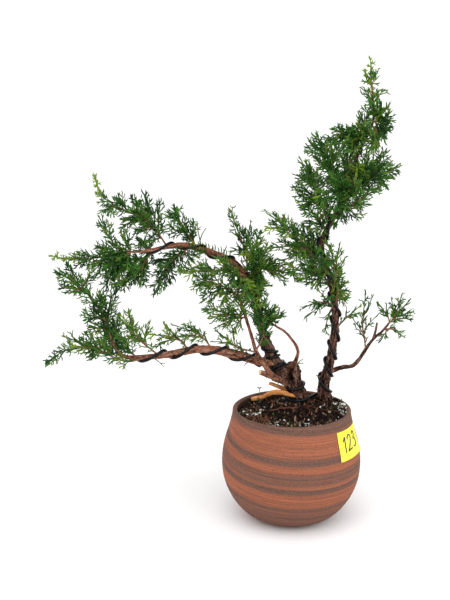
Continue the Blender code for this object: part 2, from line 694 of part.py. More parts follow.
def wrap(limb, rows, thick):
    """Points of a wire round a limb, from rows of an angle in degrees and a length in millimetres."""
    points = []
    clearance = thick / 2 + GAP
    for (angle, along), (next_angle, next_along) in zip(rows, rows[1:]):
        count = max(1, math.ceil(abs(next_angle - angle) * TURN_POINTS / 360 - 0.01))
        for step in range(count):
            share = step / count
            turned = math.radians(angle + share * (next_angle - angle))
            length = (along + share * (next_along - along)) * MM
            points.append(around_clear(limb, length, turned, clearance))
    points.append(around_clear(limb, rows[-1][1] * MM, math.radians(rows[-1][0]), clearance))
    return points


def around_clear(limb, length, angle, clearance):
    """A point of a winding, pushed out so that the straight run between two of them clears the limb."""
    radius = limb.at(length)[2]
    stretch = 1 / math.cos(math.pi / TURN_POINTS)
    return limb.around(length, angle, (radius + clearance) * stretch - radius)


def coil_rows(coil):
    """Rows for wrap: the coil's turns, wound to the left going up and steeper across the front."""
    rows = [(coil.angle, coil.start)]
    angle, along = coil.angle, coil.start
    for pitch, count in coil.turns:
        for _ in range(round(count * TURN_POINTS)):
            angle -= 360 / TURN_POINTS
            along += pitch / TURN_POINTS
            swing = coil.steep * pitch * math.sin(math.radians(-angle)) / math.tau
            rows.append((angle, along + swing))
    return rows


def build_wires(limbs, parts, black):
    """The training wires, each wound along its real route; gives each one's points and thickness."""
    wires = {}
    for name, coil in COILS.items():
        rows = coil_rows(coil)
        points = []
        if name == "right_trunk":
            points = wrap(limbs["left_trunk"], BASE_WINDING, coil.thick)
            rows = [JOINING_ROW] + rows
        points += wrap(limbs[name], rows, coil.thick)
        wire = name.split("_")[0] + "_wire"
        radii = [coil.thick / 2] * len(points)
        finish(tube(wire, points, radii, resolution=WIRE_SECTION), parts, black)
        wires[wire] = (points, coil.thick)
    return wires


def spray_mesh():
    """A spray of scale leaves, one unit long and pointed at both ends, that every mass shares."""
    mesh = bpy.data.meshes.new("spray")
    shape = bmesh.new()
    upper = 1 - SPRAY_WIDEST
    bmesh.ops.create_cone(shape, cap_ends=True, segments=3, radius1=1.0, radius2=0.0, depth=upper)
    bmesh.ops.translate(shape, verts=shape.verts, vec=(0, 0, SPRAY_WIDEST + upper / 2))
    bmesh.ops.remove_doubles(shape, verts=shape.verts, dist=1e-4)
    shape.faces.ensure_lookup_table()
    under = [face for face in shape.faces if abs(face.normal.z) > 0.9 and len(face.verts) == 3]
    root = bmesh.ops.poke(shape, faces=under)["verts"][0]
    root.co = (0, 0, 0)
    shape.to_mesh(mesh)
    shape.free()
    return mesh


def twig_section():
    """The three-sided outline that twigs are drawn with."""
    curve = bpy.data.curves.new("twig_section", "CURVE")
    curve.dimensions = "2D"
    spline = curve.splines.new("POLY")
    spline.points.add(2)
    for index, point in enumerate(spline.points):
        angle = math.tau * index / 3
        point.co = (math.cos(angle), math.sin(angle), 0.0, 1.0)
    spline.use_cyclic_u = True
    section = bpy.data.objects.new("twig_section", curve)
    section.hide_render = True
    return section


def bent(start, control, end, share):
    """A point on the bend from start to end that leaves towards the control point."""
    return start.lerp(control, share).lerp(control.lerp(end, share), share)


def stem_line(points):
    """The centre line of a stem through its points, and its tip, which the line stops short of."""
    line = [Vector(row) for row in smooth_rows([tuple(point) for point in points], TWIG_STEP)]
    return line[:-1], line[-1]


def side_line(start, leave, tip):
    """The centre line of a side feather, which leaves along leave and bends to just short of its tip."""
    reach = (tip - start).length
    control = start + leave * SIDE_LEAD * reach
    count = max(2, round(reach / TWIG_STEP))
    return [bent(start, control, tip, step / count) for step in range(count)]


def leaving_points(limb, length, towards):
    """How a stem leaves a limb: from just clear of its bark, or straight on from its very end."""
    centre, along, radius = limb.at(length)
    if length > limb.length - 1 * MM:
        return [centre + along * 2 * GAP, centre + along * END_LEAD]
    out = towards - centre
    out = (out - along * out.dot(along)).normalized()
    return [centre + out * (radius + GAP + TWIG_THICK / 4)]


def line_balls(line, thick, thin):
    """Balls along a feather's line, which tapers from its root to its end."""
    centres, radii = [], []
    for index, (here, there) in enumerate(zip(line, line[1:])):
        first = thick + (thin - thick) * index / (len(line) - 1)
        last = thick + (thin - thick) * (index + 1) / (len(line) - 1)
        more_centres, more_radii = balls_along(here, there, first, last)
        centres += more_centres
        radii += more_radii
    return centres, radii


def stem_of(mass, limb, taken):
    """The line and tip of a mass's stem, moved along its limb until it is clear of what is built."""
    points = [Vector(point) * MM for point in mass.stem]
    for nudge in STEM_NUDGES:
        leaving = leaving_points(limb, (mass.along + nudge) * MM, points[0])
        stem, tip = stem_line(leaving + points)
        centres, radii = line_balls(stem, TWIG_THICK, TWIG_THIN)
        if taken.clears(centres[2:], radii[2:], GAP):
            break
    return stem, tip


def feathers_of(mass, limb, taken):
    """The stem and the side feathers that branch from it, each as its line, tip and thickness."""
    stem, end = stem_of(mass, limb, taken)
    feathers = [(stem, end, TWIG_THICK)]
    for order, (share, tip) in enumerate(mass.sides):
        tip = Vector(tip) * MM
        fork = min(max(1, round(share * (len(stem) - 1))), len(stem) - 1)
        ahead = (stem[fork] - stem[fork - 1]).normalized()
        root = stem[fork] - ahead * TWIG_THICK * SIDE_TWIG * (1 + FORK_STEP * order)
        line = side_line(root, (ahead + (tip - root).normalized()).normalized(), tip)
        centres, radii = line_balls(line, TWIG_THICK * SIDE_TWIG, TWIG_THIN)
        if taken.clears(centres, radii, GAP):
            feathers.append((line, tip, TWIG_THICK * SIDE_TWIG))
    return feathers


def swell_at(share):
    """How far sprays reach along a feather, as a share of its spread: it ends in a point."""
    return 0.28 + 0.72 * math.sin(math.pi * min(1.0, 0.12 + 0.86 * share) ** 0.9)


def spray_places(line, tip, spread, rng):
    """Where sprays grow on one feather, the one at its end first: root, direction, length, flat way."""
    length = sum((there - here).length for here, there in zip(line, line[1:]))
    count = max(1, round(length / SPRAY_SPACING))
    turn = rng.uniform(0, math.tau)
    ahead = (tip - line[-1]).normalized()
    full = (tip - line[-1]).length + END_SINK
    places = [(line[-1] - ahead * END_SINK, ahead, full, Vector((0, 1, 0)))]
    for order in range(count):
        share = BARE_SHARE + (1 - BARE_SHARE) * (order + 0.5) / count
        position = share * (len(line) - 1)
        index = min(int(position), len(line) - 2)
        root = line[index].lerp(line[index + 1], position - index)
        along = (line[index + 1] - line[index]).normalized()
        turn += GOLDEN_TURN
        facing = Vector((0, -1, 0.2))
        front = (facing - along * along.dot(facing)).normalized()
        out = SPRAY_DEPTH * math.cos(turn) * front + math.sin(turn) * along.cross(front)
        slant = SPRAY_SLANT * rng.uniform(1 - SLANT_SWAY, 1 + SLANT_SWAY)
        direction = (along * math.cos(slant) + out * math.sin(slant)).normalized()
        full = spread * swell_at(share) * rng.uniform(*SPRAY_SIZES)
        places.append((root, direction, full, out.cross(direction)))
    return places


def add_spray(name, place, taken, own, spray, stock):
    """Adds one spray, shortened if need be, or none where it would touch what is already there."""
    root, direction, full, flat_way = place
    for shorter in SPRAY_TRIES:
        length = full * shorter
        centres, radii = spray_balls(root, direction, length)
        free = taken.clears(centres, radii, GAP, besides=name)
        if free and own.clears(centres[1:], radii[1:], 0.0):
            width = length * SPRAY_WIDTH
            side = direction.cross(flat_way).normalized()
            turn = Matrix((side, direction.cross(side), direction)).transposed().to_4x4()
            size = Matrix.Diagonal((width, width * SPRAY_FLATNESS, length, 1.0))
            piece = bpy.data.objects.new(name, spray)
            piece.matrix_world = Matrix.Translation(root) @ turn @ size
            stock.objects.link(piece)
            own.add(centres[1:], radii[1:])
            return


def outer_skin(obj):
    """Drops the specks of enclosed space that a union can leave inside a solid."""
    shape = bmesh.new()
    shape.from_mesh(obj.data)
    left = set(shape.faces)
    skins = []
    while left:
        skin = {left.pop()}
        edge_of_skin = list(skin)
        while edge_of_skin:
            face = edge_of_skin.pop()
            beside = {other for edge in face.edges for other in edge.link_faces} & left
            left -= beside
            skin |= beside
            edge_of_skin += beside
        skins.append(skin)
    skins.sort(key=len)
    for skin in skins[:-1]:
        bmesh.ops.delete(shape, geom=list(skin), context="FACES")
    shape.to_mesh(obj.data)
    shape.free()


def fused(name, stem, stock):
    """The stem with everything in the stock joined onto it as one solid; the stock goes."""
    union = stem.modifiers.new("fuse", "BOOLEAN")
    union.operation = "UNION"
    union.solver = "MANIFOLD"
    union.operand_type = "COLLECTION"
    union.collection = stock
    made = as_mesh(stem, name, weld=False)
    outer_skin(made)
    for piece in list(stock.objects):
        bpy.data.objects.remove(piece, do_unlink=True)
    bpy.data.collections.remove(stock)
    return made


def build_mass(mass, feathers, taken, spray, section, parts, green):
    """One mass: its stem and side feathers with sprays along each, fused into one solid."""
    rng = random.Random(mass.name)
    stock = new_collection(mass.name + "_stock")
    own = Taken()
    bases = []
    for line, tip, thick in feathers:
        radii = np.linspace(thick, TWIG_THIN, len(line))
        bases.append(tube(mass.name, line, radii, section=section))
        for place in spray_places(line, tip, mass.spread * MM, rng):
            add_spray(mass.name, place, taken, own, spray, stock)
    for side_twig in bases[1:]:
        finish(side_twig, stock)
    taken.add(own.centres, own.radii, owner=mass.name)
    finish(fused(mass.name, bases[0], stock), parts, green)


def all_that_stands(limbs, wires):
    """Balls along every limb and wire, for the foliage to keep clear of."""
    taken = Taken()
    for limb in limbs.values():
        taken.add(limb.centres, limb.radii)
    for points, thick in wires.values():
        for here, there in zip(points, points[1:]):
            taken.add(*balls_along(here, there, thick / 2, thick / 2))
    return taken


def build_foliage(taken, limbs, parts, cutters, materials):
    """Every mass, once all the stems and side feathers are placed clear of each other."""
    feathers = {}
    for mass in MASSES:
        feathers[mass.name] = feathers_of(mass, limbs[mass.limb], taken)
        for line, _, thick in feathers[mass.name]:
            taken.add(*line_balls(line, thick, TWIG_THIN), owner=mass.name)
    spray = spray_mesh()
    section = twig_section()
    finish(section, cutters)
    for index, mass in enumerate(MASSES):
        green = materials[GREEN_ORDER[index % len(GREEN_ORDER)]]
        build_mass(mass, feathers[mass.name], taken, spray, section, parts, green)


def main():
    clear_scene()
    parts = new_collection("juniper_bonsai")
    cutters = new_collection("cutters")
    materials = {name: new_material(name, *look) for name, look in SURFACES.items()}

    build_pot(parts, materials["marbled_clay"])
    build_soil(parts, materials["soil"])
    build_label(parts, materials["yellow_paper"])
    limbs = {name: Limb(route) for name, route in LIMB_ROUTES.items()}
    build_limbs(limbs, parts, cutters, materials["bark"], materials["peeled_root"])
    wires = build_wires(limbs, parts, materials["black_wire"])
    build_foliage(all_that_stands(limbs, wires), limbs, parts, cutters, materials)


main()
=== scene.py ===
import bisect
import json
import math
import random

import bmesh
import bpy
import numpy as np
from mathutils import Matrix, Vector, noise

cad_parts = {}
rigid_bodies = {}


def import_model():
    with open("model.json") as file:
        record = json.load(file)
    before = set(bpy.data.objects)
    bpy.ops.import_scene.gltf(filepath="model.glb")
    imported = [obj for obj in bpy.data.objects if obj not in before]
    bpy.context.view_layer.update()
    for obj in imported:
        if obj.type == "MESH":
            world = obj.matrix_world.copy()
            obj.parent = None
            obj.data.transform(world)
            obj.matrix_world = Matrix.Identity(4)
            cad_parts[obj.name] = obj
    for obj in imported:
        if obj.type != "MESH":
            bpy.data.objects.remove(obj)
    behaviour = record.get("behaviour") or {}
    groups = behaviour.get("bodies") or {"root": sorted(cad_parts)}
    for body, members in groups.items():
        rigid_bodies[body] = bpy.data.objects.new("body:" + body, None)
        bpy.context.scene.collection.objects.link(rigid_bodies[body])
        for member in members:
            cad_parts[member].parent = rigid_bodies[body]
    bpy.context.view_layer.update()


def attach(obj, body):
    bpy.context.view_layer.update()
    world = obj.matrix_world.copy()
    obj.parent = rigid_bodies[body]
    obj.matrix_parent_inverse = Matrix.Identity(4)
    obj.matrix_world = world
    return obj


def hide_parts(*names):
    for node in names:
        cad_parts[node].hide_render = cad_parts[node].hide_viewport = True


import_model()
mm = 0.001
wholeTurn = math.tau

# camera, floor and lights, as the photograph was taken; lengths in metres
studio = {
    "cameraPlace": (-0.054, -0.77918, 0.36215),
    "cameraPitch": 76.9,
    "lens": 60.76,
    "sensor": 36,
    "clipStart": 0.01,
    "floorColour": (0.93, 0.93, 0.93),
    "floorFrom": -3.0,
    "sweepFrom": 0.9,
    "sweepRadius": 0.8,
    "wallTop": 3.5,
    "halfWidth": 4,
    "backdrop": 1.05,
    # power, size and place
    "lights": {"softKey": (9.0, 1.3, (-0.35, -0.75, 1.35)), "softFill": (4.0, 1.0, (0.9, -0.6, 0.7))},
    "lightAim": (-0.04, 0, 0.15),
}


# One socket of a node. Sums on it lay out Math nodes, so that a pattern reads as an expression.
class Signal:
    def __init__(self, bench, socket):
        self.bench = bench
        self.socket = socket

    def sum(self, operation, first, second):
        return self.bench.add("ShaderNodeMath", {"operation": operation}, [first, second])

    def __add__(self, other):
        return self.sum("ADD", self, other)

    def __radd__(self, other):
        return self.sum("ADD", other, self)

    def __sub__(self, other):
        return self.sum("SUBTRACT", self, other)

    def __rsub__(self, other):
        return self.sum("SUBTRACT", other, self)

    def __mul__(self, other):
        return self.sum("MULTIPLY", self, other)

    def __rmul__(self, other):
        return self.sum("MULTIPLY", other, self)


# A node tree on the bench, in a material or in Geometry Nodes.
class Bench:
    def __init__(self, tree):
        self.tree = tree

    # settings go on first, then the values or links of the sockets, by name or in order
    def add(self, kind, settings=None, inputs=(), output=0):
        node = self.tree.nodes.new(kind)
        for key, value in (settings or {}).items():
            setattr(node, key, value)
        for key, value in inputs.items() if isinstance(inputs, dict) else enumerate(inputs):
            self.feed(node.inputs[key], value)
        return Signal(self, node.outputs[output])

    # a socket takes a link or a value, and a colour of three shares is made opaque
    def feed(self, socket, value):
        if isinstance(value, Signal):
            self.tree.links.new(value.socket, socket)
        else:
            socket.default_value = (*value, 1.0) if socket.type == "RGBA" else value

    def noise(self, place, scale, detail=3.0, rough=0.55):
        inputs = {"Vector": place, "Scale": scale, "Detail": detail, "Roughness": rough}
        return self.add("ShaderNodeTexNoise", None, inputs)

    # a smooth step from 0 to 1 between two levels
    def between(self, value, low, high):
        settings = {"interpolation_type": "SMOOTHSTEP"}
        return self.add("ShaderNodeMapRange", settings, {"Value": value, "From Min": low, "From Max": high})

    def blend(self, share, first, second):
        return self.add("ShaderNodeMix", {"data_type": "RGBA"}, {0: share, 6: first, 7: second}, output=2)

    # a colour laid over another in part, where a value lies between two levels
    def tint(self, under, over, share, value, low, high):
        return self.blend(self.between(value, low, high) * share, under, over)

    def stretch(self, place, scale):
        return self.add("ShaderNodeMapping", None, {"Vector": place, "Scale": scale})


# A finish being mixed: a material with one Principled shader.
class Finish(Bench):
    def __init__(self, name, **plain):
        self.material = bpy.data.materials.new(name)
        self.material.use_nodes = True
        super().__init__(self.material.node_tree)
        self.shader = self.tree.nodes["Principled BSDF"]
        self.set(**plain)

    # roughness=0.6 or baseColour=mixed: each goes to the socket of that name
    def set(self, **sockets):
        names = {"baseColour": "Base Color", "specular": "Specular IOR Level"}
        for key, value in sockets.items():
            self.feed(self.shader.inputs[names.get(key, key.title())], value)

    def place(self):
        return self.add("ShaderNodeTexCoord", None, output=3)

    def attribute(self, name, output):
        return self.add("ShaderNodeAttribute", {"attribute_name": name}, output=output)

    def bump(self, height, depth, strength):
        return self.add("ShaderNodeBump", None, {"Height": height, "Distance": depth, "Strength": strength})


# shared making of pieces

def clamp(value, low=0.0, high=1.0):
    return min(max(value, low), high)


def angleGap(first, second):
    return (first - second + math.pi) % wholeTurn - math.pi


# rows written as text: blanks part the numbers, commas the rows
def rowsOf(text):
    return [tuple(map(float, row.split())) for row in text.split(",")]


def linked(name, data):
    made = bpy.data.objects.new(name, data)
    bpy.context.scene.collection.objects.link(made)
    return made


def newObject(name, verts, faces=(), edges=()):
    mesh = bpy.data.meshes.new(name)
    mesh.from_pydata([tuple(v) for v in verts], edges, faces)
    mesh.update()
    return linked(name, mesh)


# the angles of a ring's points
def turnsOf(sides):
    return [wholeTurn * step / sides for step in range(sides)]


# the faces between two rings of points
def band(low, high, sides):
    return [(low + i, low + (i + 1) % sides, high + (i + 1) % sides, high + i) for i in range(sides)]


# the faces from a ring of points to a pole, turned over where the ring is a foot
def fan(ring, pole, sides, over=False):
    pairs = [(ring + i, ring + (i + 1) % sides) for i in range(sides)]
    return [(*(pair[::-1] if over else pair), pole) for pair in pairs]


# a mesh loses the verts or faces that a test picks
def cleared(mesh, parts, test):
    shape = bmesh.new()
    shape.from_mesh(mesh)
    picked = [part for part in getattr(shape, parts) if test(part)]
    bmesh.ops.delete(shape, geom=picked, context=parts.upper())
    shape.to_mesh(mesh)
    shape.free()
    return mesh


def storeValues(mesh, name, kind, values):
    field = "vector" if kind == "FLOAT_VECTOR" else "value"
    mesh.attributes.new(name, kind, "POINT").data.foreach_set(field, np.asarray(values).ravel())


# the piece gets its finishes, moves with the part and shows for the CAD nodes
def settle(piece, nodes=(), finishes=()):
    for finish in finishes:
        piece.data.materials.append(finish.material)
    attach(piece, "root")
    if nodes:
        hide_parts(*nodes)


# a Geometry Nodes tree with named inputs; the caller lays the nodes between start and end
class Grower(Bench):
    def __init__(self, name, sizes):
        super().__init__(bpy.data.node_groups.new(name, "GeometryNodeTree"))
        faces = self.tree.interface
        faces.new_socket("Geometry", in_out="INPUT", socket_type="NodeSocketGeometry")
        faces.new_socket("Geometry", in_out="OUTPUT", socket_type="NodeSocketGeometry")
        for label, (kind, value) in sizes.items():
            socket = faces.new_socket(label, in_out="INPUT", socket_type="NodeSocket" + kind)
            if value is not None:
                socket.default_value = value
        self.start = self.tree.nodes.new("NodeGroupInput")

    def given(self, label):
        return Signal(self, self.start.outputs[label])

    def stored(self, label, kind):
        return self.add("GeometryNodeInputNamedAttribute", {"data_type": kind}, {"Name": label})

    # every tree ends with real geometry in its finish
    def end(self, geometry):
        real = self.add("GeometryNodeRealizeInstances", None, [geometry])
        finish = {"Geometry": real, "Material": self.given("Finish")}
        dressed = self.add("GeometryNodeSetMaterial", None, finish)
        self.tree.links.new(dressed.socket, self.tree.nodes.new("NodeGroupOutput").inputs[0])

    # ends the tree with one of the pool's shapes at each point
    def setShapes(self, points, pick, turn, size):
        pool = {"Collection": self.given("Shapes"), "Separate Children": True, "Reset Children": True}
        placed = {
            "Points": points, "Instance": self.add("GeometryNodeCollectionInfo", None, pool),
            "Pick Instance": True, "Instance Index": pick, "Rotation": turn, "Scale": size,
        }
        self.end(self.add("GeometryNodeInstanceOnPoints", None, placed))


# runs a grower on a base object and leaves a plain mesh object in its place
def grown(name, base, grower, values):
    modifier = base.modifiers.new(grower.tree.name, "NODES")
    modifier.node_group = grower.tree
    for item in grower.tree.interface.items_tree:
        if item.in_out == "INPUT" and item.name in values:
            modifier[item.identifier] = values[item.name]
    bpy.context.view_layer.update()
    graph = bpy.context.evaluated_depsgraph_get()
    mesh = bpy.data.meshes.new_from_object(base.evaluated_get(graph))
    base.modifiers.remove(modifier)
    bpy.data.objects.remove(base, do_unlink=True)
    mesh.name = name
    return linked(name, mesh)


# strands: a round section swept along every run of edges, as thick as the points say
def makeStrandGrower():
    grower = Grower("strandGrower", {"Sides": ("Int", 6), "Finish": ("Material", None)})
    run = grower.add("GeometryNodeMeshToCurve", None, [grower.given("Geometry")])
    circle = {"Resolution": grower.given("Sides"), "Radius": 1.0}
    ring = grower.add("GeometryNodeCurvePrimitiveCircle", None, circle)
    thick = grower.stored("halfThick", "FLOAT")
    sweep = {"Curve": run, "Profile Curve": ring, "Scale": thick, "Fill Caps": True}
    swept = grower.add("GeometryNodeCurveToMesh", None, sweep)
    grower.end(grower.add("GeometryNodeSetShadeSmooth", None, {"Geometry": swept, "Shade Smooth": True}))
    return grower


strandGrower = makeStrandGrower()


def strands(name, runs, finish, sides=6):
    verts, edges, radii = [], [], []
    for points, thickness in runs:
        first = len(verts)
        verts += [tuple(p) for p in points]
        radii += list(thickness)
        edges += [(first + i, first + i + 1) for i in range(len(points) - 1)]
    base = newObject(name + "Runs", verts, edges=edges)
    storeValues(base.data, "halfThick", "FLOAT", radii)
    return grown(name, base, strandGrower, {"Sides": sides, "Finish": finish.material})


# things set on given points: one of a few shapes at each, turned and sized as the points say
def makeSettingGrower():
    grower = Grower("settingGrower", {"Shapes": ("Collection", None), "Finish": ("Material", None)})
    turn = grower.add("FunctionNodeEulerToRotation", None, [grower.stored("turn", "FLOAT_VECTOR")])
    pick, size = grower.stored("pick", "INT"), grower.stored("size", "FLOAT_VECTOR")
    grower.setShapes(grower.given("Geometry"), pick, turn, size)
    return grower


settingGrower = makeSettingGrower()


def setOnPoints(name, places, turns, sizes, picks, shapes, finish):
    base = newObject(name + "Places", places)
    storeValues(base.data, "turn", "FLOAT_VECTOR", turns)
    storeValues(base.data, "size", "FLOAT_VECTOR", sizes)
    storeValues(base.data, "pick", "INT", picks)
    return grown(name, base, settingGrower, {"Shapes": shapes, "Finish": finish.material})


# a pool of small shapes that a grower picks from, kept out of the scene
def shapePool(name, objects):
    pool = bpy.data.collections.new(name)
    for made in objects:
        bpy.context.scene.collection.objects.unlink(made)
        pool.objects.link(made)
    return pool


def dropPool(pool):
    for made in list(pool.objects):
        bpy.data.objects.remove(made, do_unlink=True)
    bpy.data.collections.remove(pool)


# a small uneven lump, a few dozen faces, one unit across: its corners and the angle from one to the next
lumpShape = {"corners": 14, "turn": 2.39996}


def lump(name, seed, squash, jag=0.35):
    rng = random.Random(seed)
    corners = []
    for index in range(lumpShape["corners"]):
        height = 1 - 2 * (index + 0.5) / lumpShape["corners"]
        reach = math.sqrt(1 - height * height)
        angle = index * lumpShape["turn"]
        size = 0.5 * (1 - jag * rng.random())
        point = Vector((reach * math.cos(angle), reach * math.sin(angle), height)) * size
        corners.append((point.x * squash[0], point.y * squash[1], point.z * squash[2]))
    made = newObject(name, corners)
    shape = bmesh.new()
    shape.from_mesh(made.data)
    hull = bmesh.ops.convex_hull(shape, input=shape.verts)
    loose = [item for item in hull["geom_interior"] if isinstance(item, bmesh.types.BMVert)]
    bmesh.ops.delete(shape, geom=loose, context="VERTS")
    shape.to_mesh(made.data)
    shape.free()
    return made


def lumpPool(name, single, count, seed, squash, jag=0.35):
    return shapePool(name, [lump(f"{single}{i}", seed + i, squash, jag) for i in range(count)])


# scattering: a shape from the pool at random places on a surface, turned at random
def makeScatterGrower():
    grower = Grower("scatterGrower", {
        "Shapes": ("Collection", None), "Amount": ("Float", 1000.0), "Smallest": ("Float", 1.0),
        "Largest": ("Float", 2.0), "Lean": ("Float", math.pi), "Seed": ("Int", 1),
        "Finish": ("Material", None),
    })
    seed, lean = grower.given("Seed"), grower.given("Lean")
    onSurface = {"Mesh": grower.given("Geometry"), "Density": grower.given("Amount"), "Seed": seed}
    settings = {"distribute_method": "RANDOM"}
    points = grower.add("GeometryNodeDistributePointsOnFaces", settings, onSurface)
    upright = Signal(grower, points.socket.node.outputs["Rotation"])
    leanBack = lean * -1.0
    most = grower.add("ShaderNodeCombineXYZ", None, [lean, lean, math.pi])
    least = grower.add("ShaderNodeCombineXYZ", None, [leanBack, leanBack, -math.pi])

    def drawn(kind, inputs, output):
        return grower.add("FunctionNodeRandomValue", {"data_type": kind}, {**inputs, 8: seed}, output)

    turn = grower.add("FunctionNodeEulerToRotation", None, [drawn("FLOAT_VECTOR", {0: least, 1: most}, 0)])
    turn = grower.add("FunctionNodeRotateRotation", {"rotation_space": "LOCAL"}, [upright, turn])
    size = drawn("FLOAT", {2: grower.given("Smallest"), 3: grower.given("Largest")}, 1)
    # a number past the pool's last shape starts again at its first
    grower.setShapes(points, drawn("INT", {4: 0, 5: 40}, 2), turn, size)
    return grower


scatterGrower = makeScatterGrower()


def scattered(name, surface, pool, finish, amount, smallest, largest, seed, lean=math.pi):
    values = {
        "Shapes": pool, "Amount": float(amount), "Smallest": smallest * mm, "Largest": largest * mm,
        "Lean": lean, "Seed": seed, "Finish": finish.material,
    }
    return grown(name, linked(name + "Ground", surface), scatterGrower, values)


def mixedFinish(name, first, second, rough=0.9, scale=260.0):
    finish = Finish(name, roughness=rough, specular=0.08)
    vary = finish.noise(finish.place(), scale, detail=2)
    finish.set(baseColour=finish.blend(finish.between(vary, 0.40, 0.60), first, second))
    return finish


# the frame of the plant: the source's own routes, windings and masses, read more finely here

def smoothRows(rows, spacing):
    given = np.array(rows, float)
    given = np.vstack([2 * given[0] - given[1], given, 2 * given[-1] - given[-2]])
    made = []
    for before, here, there, after in zip(given, given[1:], given[2:], given[3:]):
        count = max(1, round(np.linalg.norm((there - here)[:3]) / spacing))
        for step in range(count):
            t = step / count
            slope = (there - before) * t
            bend = (2 * before - 5 * here + 4 * there - after) * t**2
            twist = (3 * here - before - 3 * there + after) * t**3
            made.append(0.5 * (2 * here + slope + bend + twist))
    made.append(given[-2])
    return np.array(made)


# One limb's centre line and thickness, read by the distance from its root.
class Limb:
    def __init__(self, route):
        fine = smoothRows(route, 1.0) * mm
        self.centres = [Vector(row[:3]) for row in fine]
        self.radii = [row[3] for row in fine]
        self.lengths = [0.0]
        for here, there in zip(self.centres, self.centres[1:]):
            self.lengths.append(self.lengths[-1] + (there - here).length)
        self.length = self.lengths[-1]

    def at(self, length):
        length = clamp(length, 0.0, self.length)
        index = clamp(bisect.bisect(self.lengths, length), 1, len(self.lengths) - 1)
        share = (length - self.lengths[index - 1]) / (self.lengths[index] - self.lengths[index - 1])
        centre = self.centres[index - 1].lerp(self.centres[index], share)
        radius = self.radii[index - 1] + share * (self.radii[index] - self.radii[index - 1])
        ahead = self.centres[min(index + 1, len(self.centres) - 1)]
        return centre, (ahead - self.centres[max(index - 2, 0)]).normalized(), radius

    # the two directions across the limb: towards its front and towards its side
    def across(self, along):
        front = (Vector((0, -1, 0)) - along * -along.y).normalized()
        return front, along.cross(front)

    def around(self, length, angle, clearance):
        centre, along, radius = self.at(length)
        front, side = self.across(along)
        return centre + (math.cos(angle) * front + math.sin(angle) * side) * (radius + clearance)


# centre lines: each row is a place across, back and up and the half thickness, in millimetres
limbRoutes = {
    "left_trunk": "7 12 88 8.6, 7 12 94 7.5, 5 12 100 6.7, 2 10 111 6.7, 0 9 119 6.9, 1 9 121.6 6.5, "
        "1.5 9 123 5.6",
    "right_trunk": "28 13 88 6.8, 28 13 94 5.7, 27 12 101 4.9, 27 11 110 4.4, 31.2 9 129 3.5, "
        "34.2 10 149 3, 34.6 12 170 2.7, 30 11 195 2.3, 22 7 223 2.1, 30 6 244 2, 43 8 267 1.7, "
        "48 7 293 1.3, 58 5 316 1, 59.5 5 331 0.8",
    "upper_bough": "1 10 112 6.1, -5 9 117.5 6, -10 8 122 5.6, -15 8 130 4.9, -19 9 140 4.2, "
        "-23 11 149 3.6, -28 15 170 3.3, -32 16 190 3.1, -40 14 201 2.9",
    "far_bough": "-38.5 14.3 199.5 2.7, -48 12 209 2.8, -60 10 215 2.7, -83 8 223 2.3, -97 5 223 1.8, "
        "-110 1 221 1.4, -123 -4 220 0.8",
    "lower_bough": "-13 8 126 3.7, -23 4 129 3.4, -34 -1 133 3.4, -48 -7 139 3.5, -62 -11 143 3.2, "
        "-78 -14 144 2.8, -105 -20 141 2.3, -128 -22 140 1.6, -138 -22 144 1.3",
    "right_bough": "31 9.5 119 1.9, 41 11 122 1.7, 49 14 122 1.6, 55 17 126 1.5, 66 22 141 1.1, "
        "75 24 149 0.95, 80 25 155 0.8",
    "base_branch": "-4 9 110 2.9, -9 6 113 2.9, -14 2 116 2.6, -20 -2 124 1.9, -29 -5 140 1.4, "
        "-33 -6 153 1.2, -42 -9 183 1, -44 -9 189 0.9, -38 -8 202 0.8",
    "pruned_stub": "-11 4.5 114.5 2.2, -19 -1 119 2.2, -26 -5 123 1.8",
    "curved_branch": "1 9 122 2, 4 9 130 1.5, 5 8 136 1.2, 3 7 142 1.1, -1 5 148 1, -6 3 154 0.9, "
        "-13 1 159 0.8, -17 0 162 0.7",
    "peeled_root": "5 9 98 1.5, -1.5 4.5 100.6 1.5, -7.5 5.5 102.4 1.9, -15 11.5 100.3 1.9, "
        "-22.5 19 94.2 1.7, -31.5 24 90.4 1.7",
    "short_root": "2 13 101.4 1.5, -7 14 103.6 1.6, -17.5 17 106.6 1.3",
}


